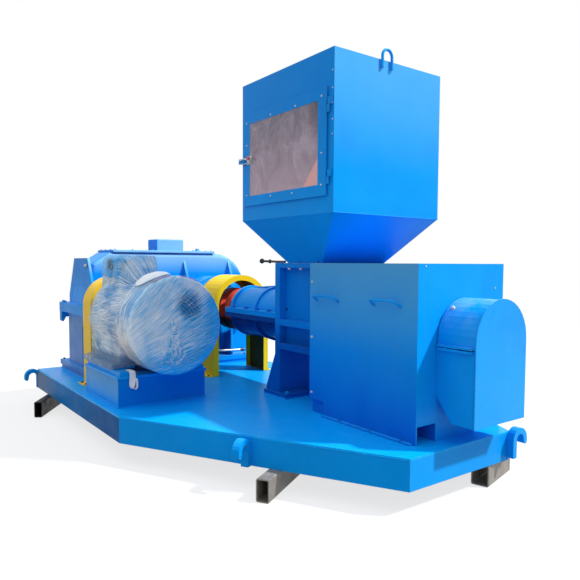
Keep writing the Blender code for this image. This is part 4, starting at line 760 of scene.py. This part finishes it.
def resample(path, step):
    result = [path[0]]
    for a, b in zip(path, path[1:]):
        count = max(int((b - a).length / step), 1)
        for k in range(1, count + 1):
            result.append(a.lerp(b, k / count))
    return result


def smooth_step(value, low, high):
    share = min(max((value - low) / (high - low), 0.0), 1.0)
    return share * share * (3 - 2 * share)


def ridge(x, y, z=0.0):
    """Noise with sharp crests, from 0 to 1."""
    return 1.0 - abs(noise.noise(Vector((x, y, z)))) * 2.0


# Packing film over the motor

def along_skirt(share):
    """A point of the hanging side, from the motor's axis height down to the rail."""
    lengths = [math.dist(a, b) for a, b in zip(SKIRT, SKIRT[1:])]
    left = share * sum(lengths)
    for (a, b), length in zip(zip(SKIRT, SKIRT[1:]), lengths):
        if left <= length:
            part = left / length
            return a[0] + (b[0] - a[0]) * part, a[1] + (b[1] - a[1]) * part
        left -= length
    return SKIRT[-1]


def film_section(degrees, y):
    """X and Z of the film at an angle round the motor, and the direction away from it."""
    slack = 1.0 - smooth_step(y, 0.270, 0.350)
    skirt = smooth_step(y, SKIRT_START, SKIRT_START + 0.050)
    hump = smooth_step(y, 0.480, 0.625) * (1.0 - smooth_step(y, 0.950, 1.060))
    base = BODY_RADIUS + (FRONT_RADIUS - BODY_RADIUS) * slack - 0.028 * smooth_step(y, 1.010, 1.080)
    centre_x, centre_z = INPUT_X + 0.02 * slack, AXIS_Z - 0.02 * slack
    a = math.radians(degrees)
    dx, dz = math.cos(a), math.sin(a)
    radius = base
    if dz > 0.2 and hump > 0:
        side = 0.118 if dx > 0 else 0.242
        corner = ((dz / 0.530) ** 14 + (abs(dx) / side) ** 14) ** (-1 / 14)
        radius += max(corner - radius, 0.0) * hump
    u, v = radius * dx, radius * dz
    away = Vector((dx, 0.0, dz))
    if dz < 0:
        below = min((-degrees if degrees < 90 else degrees - 180.0) / 88.0, 1.0)
        out, down = along_skirt(below)
        u += (math.copysign(out, dx) - u) * skirt
        v += (down - v) * skirt
        away = away.lerp(Vector((math.copysign(1.0, dx), 0.0, 0.0)), skirt)
    return Vector((centre_x + u, y, centre_z + v)), away


def film_wrinkle(degrees, y):
    """How far the film's folds stand out from its even section."""
    fan = math.radians(180.0 - degrees) * 1.6 / (FOLD_END - y)
    skirt = smooth_step(y, SKIRT_START, SKIRT_START + 0.050)
    wide = ridge(fan * 7.0, y * 1.5)
    fine = ridge(fan * 19.0, y * 3.0, 4.0)
    hair = ridge(fan * 44.0, y * 5.0, 9.0)
    height = 0.0065 * wide + 0.0034 * fine + 0.0012 * hair - 0.0040
    if y < 0.27:
        height *= 0.45
    if degrees < 0 or degrees > 180:
        below = (-degrees if degrees < 90 else degrees - 180.0) / 90.0
        gather = smooth_step(below, 0.62, 1.0) * skirt
        pleat = ridge(y * 13.0, below * 1.2, 2.0)
        height = height * (1 - gather) + (0.003 + 0.010 * pleat) * gather
    return height


def dome_wrinkle(x, z):
    """How far the film's front stands out: folds from its lower left, and the crumpled knot."""
    ray = math.atan2(z + FOLD_BELOW, x + FOLD_LEFT)
    reach = (x + z) * 1.6
    pulled = ridge(ray * 24.0, reach, 1.0)
    fine = ridge(ray * 62.0, reach * 2.0, 6.0)
    aside = abs(x - KNOT_X) / (0.030 + 0.26 * max(-z - 0.04, 0.0))
    knot = smooth_step(-aside, -1.3, -0.5) * smooth_step(-z, -0.07, 0.0) * smooth_step(z, -0.315, -0.27)
    crumple = ridge(x * 16.0, z * 9.0, 3.0) + 0.6 * ridge(x * 37.0, z * 24.0, 8.0)
    return (0.0042 * pulled + 0.0020 * fine) * (1 - knot) + 0.0085 * crumple * knot


def film_front(bm, angles):
    """The film's domed front, from its middle out to where its corner starts."""
    hub = bm.verts.new(at(FILM_X, FILM_FRONT - FILM_BULGE, FILM_Z))
    flat = FRONT_RADIUS - FILM_CORNER
    rings = []
    for i in range(1, 31):
        r = flat * i / 30
        ring = []
        for degrees in angles[:-1]:
            a = math.radians(degrees)
            x, z = r * math.cos(a), r * math.sin(a)
            bulge = FILM_BULGE * (1 - (r / flat) ** 2)
            bulge += dome_wrinkle(x, z) * smooth_step(flat - r, 0.0, 0.03)
            ring.append(bm.verts.new(at(FILM_X + x, FILM_FRONT - bulge, FILM_Z + z)))
        rings.append(ring + ring[:1])
    for a, b in zip(rings[0], rings[0][1:]):
        bm.faces.new((hub, b, a))
    return rings


def film_corner(bm, angles):
    """The film round the edge of the fan cowl."""
    rings = []
    for i in range(1, 7):
        turn = math.radians(90 * i / 6)
        y = FILM_FRONT + FILM_CORNER * (1 - math.cos(turn))
        ring = []
        for degrees in angles[:-1]:
            a = math.radians(degrees)
            lift = film_wrinkle(degrees, FILM_FRONT + FILM_CORNER) * i / 6
            r = FRONT_RADIUS - FILM_CORNER * (1 - math.sin(turn)) + lift
            ring.append(bm.verts.new(at(FILM_X + r * math.cos(a), y, FILM_Z + r * math.sin(a))))
        rings.append(ring + ring[:1])
    return rings


def film_body(bm, angles):
    """The film along the motor: closed over the cowl, and behind it open below, down to the rails."""
    start = FILM_FRONT + FILM_CORNER
    count = 130
    rings = []
    for i in range(1, count + 1):
        y = start + (FILM_REAR - start) * i / count
        closed = y < SKIRT_START
        ring = []
        for degrees in angles[:-1] if closed else angles:
            spot, away = film_section(degrees, y)
            spot += away * film_wrinkle(degrees, y)
            ring.append(bm.verts.new(at(*spot)))
        rings.append(ring + ring[:1] if closed else ring)
    return rings


def build_film():
    """The film as one thin sheet over the fan cowl, the motor and its terminal box."""
    bm = bmesh.new()
    turns = 260
    angles = [-90.0 + 360.0 * k / turns for k in range(turns + 1)]
    rings = film_front(bm, angles) + film_corner(bm, angles) + film_body(bm, angles)
    join_rings(bm, rings, closed=False)
    film = add_piece("packing_film", bm, "film", smooth=180)
    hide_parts("motor_wrap")


# Fittings of the motor

def build_terminal_box():
    """Cable gland, louvres and screws of the terminal box."""
    low, high = plan("motor_terminal_box")
    gland = [(0.026, 0.0), (0.046, 0.0), (0.046, 0.014), (0.040, 0.022), (0.030, 0.022), (0.026, 0.014)]
    seat = at(low.x - STAND_OFF, 0.80, 1.115)
    turned("cable_gland", seat, (-1, 0, 0), gland, "black", segments=28, closed=True)
    bm = bmesh.new()
    for k in range(7):
        x = low.x + 0.017 + 0.019 * k
        add_block(bm, at(x, low.y - 0.0034, 1.066), at(x + 0.010, low.y - STAND_OFF, 1.150), 0.001)
    add_piece("terminal_louvres", bm, "black")
    inset = 0.025
    rows = (low.y + inset, high.y - inset)
    seats = [at(x, y, high.z + STAND_OFF) for x in (low.x + inset, high.x - inset) for y in rows]
    screws("terminal_screws", seats, (0, 0, 1), 0.009)


def build_fan_grille():
    """Wire grille over a dark disc, which is painted shade in the fan cowl's intake."""
    front = plan("motor_fan_cowl")[0].y
    intake_shade_disc = [(0.0, 0.0), (0.245, 0.0), (0.245, 0.001), (0.0, 0.001)]
    # A thin dark disc: painted shade in the cowl's intake
    seat = at(INPUT_X, front - STAND_OFF, AXIS_Z)
    turned("fan_intake_painted_shade", seat, (0, -1, 0), intake_shade_disc, "shade_blue", segments=60)
    bm = bmesh.new()
    for k in range(8):
        r = 0.052 + 0.026 * k
        wire = [(r, 0.0), (r + 0.009, 0.0), (r + 0.009, 0.003), (r, 0.003)]
        add_lathe(bm, at(INPUT_X, front - 0.0018, AXIS_Z), (0, -1, 0), wire, 60, True)
    middle = at(INPUT_X, front - 0.0036, AXIS_Z)
    for k in range(4):
        a = math.pi * k / 4 + 0.2
        reach = Vector((math.cos(a), 0.0, math.sin(a))) * 0.243
        add_tube(bm, [middle - reach, middle + reach], 0.0022, 8)
    add_piece("fan_grille", bm, "motor")


def build_tape():
    """Two lengths of red tape round the film's front edge."""
    bm = bmesh.new()
    for start, end, y0, y1 in ((97, 121, 0.030, 0.044), (61, 84, 0.024, 0.036)):
        rows = []
        for i in range(25):
            degrees = start + (end - start) * i / 24
            a = math.radians(degrees)
            r = FRONT_RADIUS + 0.0042 + max(film_wrinkle(degrees, FILM_FRONT + FILM_CORNER), 0.0)
            x, z = FILM_X + r * math.cos(a), FILM_Z + r * math.sin(a)
            rows.append([bm.verts.new(at(x, y, z)) for y in (y0, y1)])
        join_rings(bm, rows, closed=False)
    tape = add_piece("red_tape", bm, "tape", smooth=60)
    thicken(tape, 0.0012)


def build_pad():
    """Soft white pad laid over the film between the cowl and the terminal box."""
    bm = bmesh.new()
    steps, turns = 14, 48
    shares = [i / steps for i in range(steps)]
    rings = []
    for share, rise in [(s, 1.0) for s in shares] + [(s, 0.0) for s in reversed(shares)]:
        ring = []
        for k in range(turns):
            a = 2 * math.pi * k / turns
            wobble = 1 + 0.10 * noise.noise(Vector((math.cos(a) * 1.7, math.sin(a) * 1.7, 5.0)))
            x = 0.372 + 0.155 * share * math.cos(a) * wobble
            y = 0.225 + 0.125 * share * math.sin(a) * wobble
            lean = max(min((x - FILM_X) / FRONT_RADIUS, 1.0), -1.0)
            base, _ = film_section(math.degrees(math.acos(lean)), min(y, 0.270))
            puff = 0.030 * (1 - share ** 3) * (1 + 0.25 * noise.noise(Vector((x * 22, y * 22, 1.0))))
            ring.append(bm.verts.new(at(x, y, base.z + 0.0070 + puff * rise)))
        rings.append(ring)
    join_rings(bm, rings)
    bmesh.ops.remove_doubles(bm, verts=bm.verts, dist=0.0002)
    pad = add_piece("foam_pad", bm, "foam", smooth=180)


def build_sling():
    """Woven lifting sling left under the motor: it drapes over the rail's end, down to its eye."""
    path = [
        (0.196, 0.330, 0.2830, 0), (0.196, 0.270, 0.2830, 0), (0.196, 0.238, 0.2835, 4),
        (0.195, 0.224, 0.2760, 8), (0.194, 0.216, 0.2600, 12), (0.193, 0.213, 0.2350, 16),
        (0.190, 0.212, 0.2100, 22), (0.186, 0.211, 0.1850, 34), (0.184, 0.208, 0.1660, 52),
        (0.189, 0.203, 0.1520, 70), (0.200, 0.198, 0.1470, 80), (0.211, 0.195, 0.1530, 86),
        (0.217, 0.193, 0.1680, 88), (0.218, 0.191, 0.1900, 86), (0.215, 0.191, 0.2120, 84),
        (0.211, 0.193, 0.2330, 78),
    ]
    width = 0.048
    points = [Vector(p[:3]) for p in path]
    bm = bmesh.new()
    rows = []
    for i, point in enumerate(points):
        ahead = (points[min(i + 1, len(points) - 1)] - points[max(i - 1, 0)]).normalized()
        a = math.radians(path[i][3])
        wide = Vector((math.cos(a), -math.sin(a), 0.0))
        wide = (wide - ahead * wide.dot(ahead)).normalized()
        rows.append([bm.verts.new(at(*(point + wide * width * (k / 6 - 0.5)))) for k in range(7)])
    join_rings(bm, rows, closed=False)
    sling = add_piece("lifting_sling", bm, "webbing", smooth=180)
    thicken(sling, 0.0026, 0.0)
    smooth = sling.modifiers.new("smooth", "SUBSURF")
    smooth.levels = 2
    smooth.render_levels = 2


# Barrel, chamber and housing

def build_barrel_details():
    """Bolts and nuts of the split flange, and the bolted cover on the driven end."""
    low, high = plan("barrel_upper")
    flange = 0.045
    spots = [(x, y) for y in (0.685, 0.458, 0.275, 0.086) for x in (low.x + 0.034, high.x - 0.034)]
    seats = [at(x, y, AXIS_Z + flange) for x, y in spots]
    bolts("barrel_flange_bolts", seats, (0, 0, 1), 0.024, "deep")
    # The nuts under the flange take the dark blue of painted shade
    seats = [at(x, y, AXIS_Z - flange) for x, y in spots]
    bolts("barrel_flange_nuts", seats, (0, 0, -1), 0.024, "shade_blue")
    thickness = 0.014
    bm = bmesh.new()
    add_cover(bm, at(MAIN_X, high.y + STAND_OFF, AXIS_Z), (0, 1, 0), 0.085, 0.205, thickness, 56)
    add_piece("barrel_end_cover", bm, "deep")
    seats = seats_round(8, MAIN_X, high.y + STAND_OFF + thickness, 0.175)
    bolts("barrel_end_bolts", seats, (0, 1, 0), 0.014, "deep")


def build_chamber_details():
    """Bolts of the chamber's top lip, a black disc as painted shade of its tapped hole, and bolts of the
    barrel pedestal's foot.
    """
    low, high = plan("feed_chamber")
    under = high.z - 0.040
    for name, x in (("chamber_lip_nuts", low.x + 0.026), ("chamber_lip_nuts_right", high.x - 0.026)):
        bolts(name, [at(x, y, under) for y in (-0.272, -0.432)], (0, 0, -1), 0.018, "zinc")
    sides = (low.x + 0.001, high.x - 0.001)
    seats = [at(x, y, high.z) for y in (-0.215, -0.440, -0.660) for x in sides]
    bolts("chamber_lip_bolts", seats, (0, 0, 1), 0.012, "deep")
    # Painted shade: a thin black disc for the tapped hole
    hole = [(0.0, 0.0), (0.0115, 0.0), (0.0115, 0.0012), (0.0, 0.0012)]
    turned("chamber_tapped_hole_shade", at(low.x + 0.070 - STAND_OFF, -0.179, 0.747), (-1, 0, 0), hole, "black")
    low, high = plan("barrel_pedestal")
    rows = (low.y + 0.045, high.y - 0.026)
    seats = [at(x, y, 0.0403) for x in (low.x + 0.05, MAIN_X, high.x - 0.05) for y in rows]
    bolts("pedestal_foot_bolts", seats, (0, 0, 1), 0.018)


def build_housing_details():
    """Bolts and screws of the housing's walls and foot, and the welds of its handles."""
    low, high = plan("housing")
    left, right = low.x + 0.028, high.x - 0.028
    for name, x, side in (("housing_wall_bolts", left, -1), ("housing_wall_bolts_right", right, 1)):
        bolts(name, [at(x, -0.722, z) for z in (0.997, 0.580, 0.157)], (side, 0, 0), 0.010, "zinc")
    sides = (low.x + 0.013, high.x - 0.013)
    seats = [at(x, y, 0.0104) for x in sides for y in (-1.363, -1.640, -1.050)]
    bolts("housing_base_bolts", seats, (0, 0, 1), 0.010, "deep")
    seats = [at(1.310, low.y, 1.122), at(2.034, low.y, 0.973)]
    screws("housing_front_screws", seats, (0, -1, 0), 0.007)
    weld = [(0.0085, 0.0), (0.016, 0.0), (0.013, 0.004), (0.0088, 0.006)]
    bar_radius = 0.008
    bm = bmesh.new()
    for handle in ("housing_handle_1", "housing_handle_2"):
        first, last = plan(handle)
        for y in (first.y + bar_radius, last.y - bar_radius):
            add_lathe(bm, at(left - STAND_OFF, y, first.z + bar_radius), (-1, 0, 0), weld, 20, True)
    add_piece("handle_welds", bm, "blue", smooth=60)


def build_guard_fittings():
    """White-headed bolt on the shaft guard's cover, and the hasp on its left side."""
    centre = at(1.6865, 0.0, 0.660)
    spot = at(1.515, -1.805, 0.862)
    away = Vector((spot.x - centre.x, 0.0, spot.z - centre.z)).normalized()
    seat = Vector((centre.x, spot.y, centre.z)) + away * 0.2586
    bolts("cover_bolt", [seat], away, 0.015, "zinc", "shaft_cover")
    side = plan("shaft_guard_cover")[0].x - 0.0005
    outside = side - 0.005
    pin = [(0.0, 0.0), (0.007, 0.0), (0.006, 0.008), (0.0, 0.009)]
    halves = (("cover_hasp", 0.6185, 0.626, "shaft_cover"), ("cover_hasp_staple", 0.5960, 0.604, "machine"))
    for name, foot, middle, body in halves:
        bm = bmesh.new()
        add_block(bm, at(outside, -2.012, foot), at(side, -1.930, foot + 0.015), 0.001)
        add_lathe(bm, at(outside, -1.945, middle), (-1, 0, 0), pin, 16)
        add_piece(name, bm, "blue", body)


# Gear case and guards

def build_bearing_covers():
    """Bolted covers on both faces of the gear case; two of its four shafts come out in front."""
    low, high = plan("reducer_lower_case")
    thickness = 0.014
    shafts = ((INPUT_X, 0.135, 0.058), (0.735, 0.150, 0.0), (1.120, 0.195, 0.0), (MAIN_X, 0.325, 0.085))
    for k, (x, radius, hole) in enumerate(shafts):
        outer = radius - 0.018
        size = 0.010 + radius * 0.022
        count = 6 if radius < 0.2 else 10
        for place, side, y, inner in (("front", -1, low.y, hole), ("rear", 1, high.y, 0.0)):
            bm = bmesh.new()
            add_cover(bm, at(x, y + side * STAND_OFF, AXIS_Z), (0, side, 0), inner, outer, thickness, 56)
            add_piece(f"bearing_cover_{place}_{k}", bm, "case")
            seats = seats_round(count, x, y + side * (thickness + 0.0006), outer - size * 1.35)
            bolts(f"bearing_bolts_{place}_{k}", seats, (0, side, 0), size, "case")


def build_case_bolts():
    """Bolts of the gear case: its split flange, its foot, one side and its top cover."""
    low, high = plan("reducer_lower_case")
    flange = 0.048
    rows = (low.y + 0.040, high.y - 0.040)
    spots = [(x, y) for x in (0.262, 0.620, 1.327, 2.022, 2.120, 2.205) for y in rows]
    ends = [(x, y) for x in (0.245, 2.220) for y in (1.640, 2.210)]
    seats = [at(x, y, AXIS_Z + flange) for x, y in spots + ends]
    bolts("split_flange_bolts", seats, (0, 0, 1), 0.020, "case")
    seats = [at(x, y, AXIS_Z - flange) for x, y in spots]
    bolts("split_flange_nuts", seats, (0, 0, -1), 0.020, "case")
    rows = (low.y + 0.028, high.y - 0.028)
    seats = [at(x, y, 0.0953) for x in (0.262, 0.600, 0.905, 1.330, 2.050, 2.205) for y in rows]
    bolts("reducer_foot_bolts", seats, (0, 0, 1), 0.013, "dark_bolt")
    bolts("reducer_side_bolt", [at(0.3135, 1.722, 1.103)], (-0.15, -0.9, 0.3), 0.016, "zinc")

    low, high = plan("reducer_top_cover")
    left, right = low.x + 0.03, high.x - 0.03
    rows = (low.y + 0.024, high.y - 0.024)
    seats = [at(x, y, COVER_TOP) for x in (left, 0.80, 1.02, 1.50, right) for y in rows]
    seats += [at(x, y, COVER_TOP) for x in (left, right) for y in (1.850, 2.000)]
    bolts("top_cover_bolts", seats, (0, 0, 1), 0.010, "case")


def build_case_fittings():
    """Oil filler on the top cover, and the drain pipe along the front with its cap."""
    filler = [(0.0, 0.0), (0.030, 0.0), (0.030, 0.012), (0.022, 0.016), (0.022, 0.030), (0.0, 0.033)]
    seat = at(MAIN_X, 1.925, COVER_TOP + STAND_OFF)
    turned("oil_filler", seat, (0, 0, 1), filler, "case", segments=24)
    route = (
        (1.720, 1.6996, 0.158), (1.720, 1.540, 0.158), (1.730, 1.518, 0.158), (1.752, 1.513, 0.157),
        (1.995, 1.513, 0.148),
    )
    bm = bmesh.new()
    add_tube(bm, [at(*p) for p in route], 0.011, 14)
    add_piece("drain_pipe", bm, "zinc", smooth=50)
    cap = [(0.0, 0.0), (0.015, 0.0), (0.015, 0.020), (0.021, 0.024), (0.021, 0.046), (0.0, 0.050)]
    turned("drain_cap", at(1.994, 1.513, 0.148), (1, 0, -0.03), cap, "black")


def build_guard_details():
    """Bolts through the feet of both arch guards."""
    seats = []
    for guard in ("input_guard", "output_guard"):
        low, high = plan(guard)
        rows = (low.y + 0.055, high.y - 0.055)
        seats += [at(x, y, 0.0063) for x in (low.x + 0.026, high.x - 0.026) for y in rows]
    bolts("guard_foot_bolts", seats, (0, 0, 1), 0.012, "dark_bolt")


# Hopper

def build_door_fittings():
    """Screws of the door's frame and of the hopper's corner, and the door's toggle."""
    outside = 1.119
    frame_screws = (
        (-0.339, 2.298), (-0.962, 2.303), (-0.342, 1.668), (-0.967, 1.910), (-0.623, 1.662), (0.007, 2.110),
        (0.007, 2.290), (-0.660, 2.298), (0.007, 1.700), (-0.962, 1.690),
    )
    screws("door_screws", [at(outside, y, z) for y, z in frame_screws], (-1, 0, 0), 0.0075, "zinc", "door")
    wall = plan("hopper_funnel")[0].x
    seats = [at(wall, -1.062, z) for z in (2.03, 2.13, 2.24, 2.34, 2.46)]
    screws("hopper_corner_screws", seats, (-1, 0, 0), 0.006)

    lever = ((1.108, -0.052, 1.972), (1.098, -0.030, 1.990), (1.092, 0.010, 2.000), (1.093, 0.080, 1.992))
    link = ((1.106, -0.030, 1.962), (1.100, 0.020, 1.958), (1.098, 0.085, 1.966))
    bm = bmesh.new()
    add_block(bm, at(1.1150, -0.072, 1.952), at(1.1186, 0.006, 2.020), 0.001)
    add_tube(bm, [at(*p) for p in lever], 0.0065)
    add_tube(bm, [at(*p) for p in link], 0.0045)
    add_block(bm, at(1.0990, -0.060, 1.960), at(1.1152, -0.030, 2.006), 0.002)
    add_piece("door_toggle", bm, "zinc", "door")
    knob = [(0.0, 0.0), (0.007, 0.0), (0.014, 0.006), (0.016, 0.014), (0.012, 0.023), (0.0, 0.026)]
    turned("door_toggle_knob", at(1.0985, -0.052, 1.995), (-0.8, -0.5, 0.2), knob, "knob", "door", 50)


def build_hopper_welds():
    """Seam between the hopper's box and funnel, and beads beside the lifting loops' legs."""
    low, high = plan("hopper_funnel")
    bm = bmesh.new()
    add_tube(bm, rectangle(low, high, high.z + 0.0005), 0.0036, 6, 0.2, 0.014)
    add_piece("hopper_seam_weld", bm, "hopper", smooth=80)
    loop_low, loop_high = plan("lifting_loop_front")
    middle = (loop_low.x + loop_high.x) / 2
    leg, bar_radius = 0.0485, 0.0095
    bm = bmesh.new()
    for y in (low.y - 0.003, high.y + 0.003):
        for x in (middle - leg, middle + leg):
            for edge in (-bar_radius, bar_radius):
                foot = at(x + edge, y, loop_low.z + 0.002)
                add_tube(bm, [foot, foot + Vector((0.0, 0.0, 0.054))], 0.0042, 6, 0.25, 0.010)
    add_piece("loop_welds", bm, "hopper", smooth=80)


# Welds of the skid

def build_welds():
    """Beads along the deck's edge and round the bases that stand on it."""
    low, high = plan("deck_plate")
    under = -0.011
    corners = (
        (low.x, 0.0), (1.036, low.y), (2.035, low.y), (high.x, -1.350), (high.x, high.y), (low.x, high.y),
        (low.x, 0.0),
    )
    centre = at(1.2, 0.3, under)
    path = [at(x, y, under) for x, y in corners]
    bm = bmesh.new()
    add_tube(bm, [p + (centre - p).normalized() * 0.004 for p in path], 0.0055, 6, 0.22, 0.012)
    add_piece("deck_edge_weld", bm, "deck", smooth=80)

    case_low, case_high = plan("reducer_lower_case")
    inset = Vector((0.012, 0.027, 0.0))
    bases = (plan("motor_stand"), plan("barrel_pedestal"), (case_low + inset, case_high - inset))
    bm = bmesh.new()
    for low, high in bases:
        add_tube(bm, rectangle(low, high, 0.003), 0.0055, 6, 0.25, 0.013)
    add_piece("base_welds", bm, "blue", smooth=80)


# Floor, light and camera

def build_stage():
    """Pale floor: white to the eye with the object's soft shadow, and a dull grey to the light."""
    g = Graph("pale_floor")
    distance = g.node("ShaderNodeVectorMath", {0: g.coord}, operation="LENGTH").outputs["Value"]
    seen = g.seen_rays()
    glow = g.node("ShaderNodeEmission")
    g.finish(Base_Color=g.mix(seen, (0.26, 0.26, 0.26), (0.85, 0.85, 0.86)), Roughness=0.9)
    share = g.times(seen, g.most(g.remap(distance, 2.5, 12.0), 0.74))
    g.link(g.blend_shaders(share, g.shader.outputs[0], glow.outputs[0]), g.out.inputs["Surface"])
    bm = bmesh.new()
    bmesh.ops.create_grid(bm, x_segments=8, y_segments=8, size=60.0)
    mesh = bpy.data.meshes.new("floor")
    bm.to_mesh(mesh)
    bm.free()
    mesh.materials.append(g.mat)
    floor = bpy.data.objects.new("floor", mesh)
    bpy.context.scene.collection.objects.link(floor)


def build_world():
    """White to the camera, to glass and to gloss; for the light a soft sky, brightest overhead."""
    world = bpy.data.worlds.new("studio")
    bpy.context.scene.world = world
    g = SkyGraph(world)
    out = g.node("ShaderNodeOutputWorld")
    white = g.node("ShaderNodeBackground", {"Color": (1.0, 1.0, 1.0), "Strength": 1.0})
    height = g.part(g.node("ShaderNodeTexCoord").outputs["Generated"], 2)
    strength = g.remap(height, 0.0, 1.0, 0.22, 1.35)
    sky = g.node("ShaderNodeBackground", {"Color": (0.88, 0.94, 1.0), "Strength": strength})
    both = g.blend_shaders(g.seen_rays(), sky.outputs[0], white.outputs[0])
    g.link(both, out.inputs["Surface"])


def build_lights():
    sun = bpy.data.lights.new("key", "SUN")
    sun.energy = 4.0
    sun.angle = math.radians(2.5)
    sun.color = (1.0, 0.98, 0.95)
    key = bpy.data.objects.new("key", sun)
    towards = Vector((0.495, -0.455, 0.74))
    key.rotation_euler = towards.to_track_quat("Z", "Y").to_euler()
    bpy.context.scene.collection.objects.link(key)


def build_camera():
    """The photograph's viewpoint, solved from its measured corners."""
    photo_width = 580.0
    focal_pixels = 586.5
    centre_u, centre_v = 286.02, 297.66
    yaw, pitch, roll = (math.radians(a) for a in (36.33, 3.375, 0.257))
    forward = Vector((math.sin(yaw) * math.cos(pitch), math.cos(yaw) * math.cos(pitch), -math.sin(pitch)))
    right = Vector((math.cos(yaw), -math.sin(yaw), 0.0))
    up = right.cross(forward)
    r = right * math.cos(roll) + up * math.sin(roll)
    u = -right * math.sin(roll) + up * math.cos(roll)
    data = bpy.data.cameras.new("camera")
    data.sensor_width = 36.0
    data.lens = data.sensor_width * focal_pixels / photo_width
    data.shift_x = (photo_width / 2 - centre_u) / photo_width
    data.shift_y = (centre_v - photo_width / 2) / photo_width
    camera = bpy.data.objects.new("camera", data)
    matrix = Matrix((r, u, -forward)).transposed().to_4x4()
    camera.matrix_world = Matrix.Translation(at(-1.5416, -4.1726, 1.1389)) @ matrix
    bpy.context.scene.collection.objects.link(camera)
    bpy.context.scene.camera = camera


build_camera()
build_world()
build_lights()
build_stage()
dress_frame()
build_film()
build_terminal_box()
build_fan_grille()
build_tape()
build_pad()
build_sling()
build_barrel_details()
build_chamber_details()
build_housing_details()
build_guard_fittings()
build_bearing_covers()
build_case_bolts()
build_case_fittings()
build_guard_details()
build_door_fittings()
build_hopper_welds()
build_welds()
bpy.context.scene.view_settings.view_transform = "Standard"
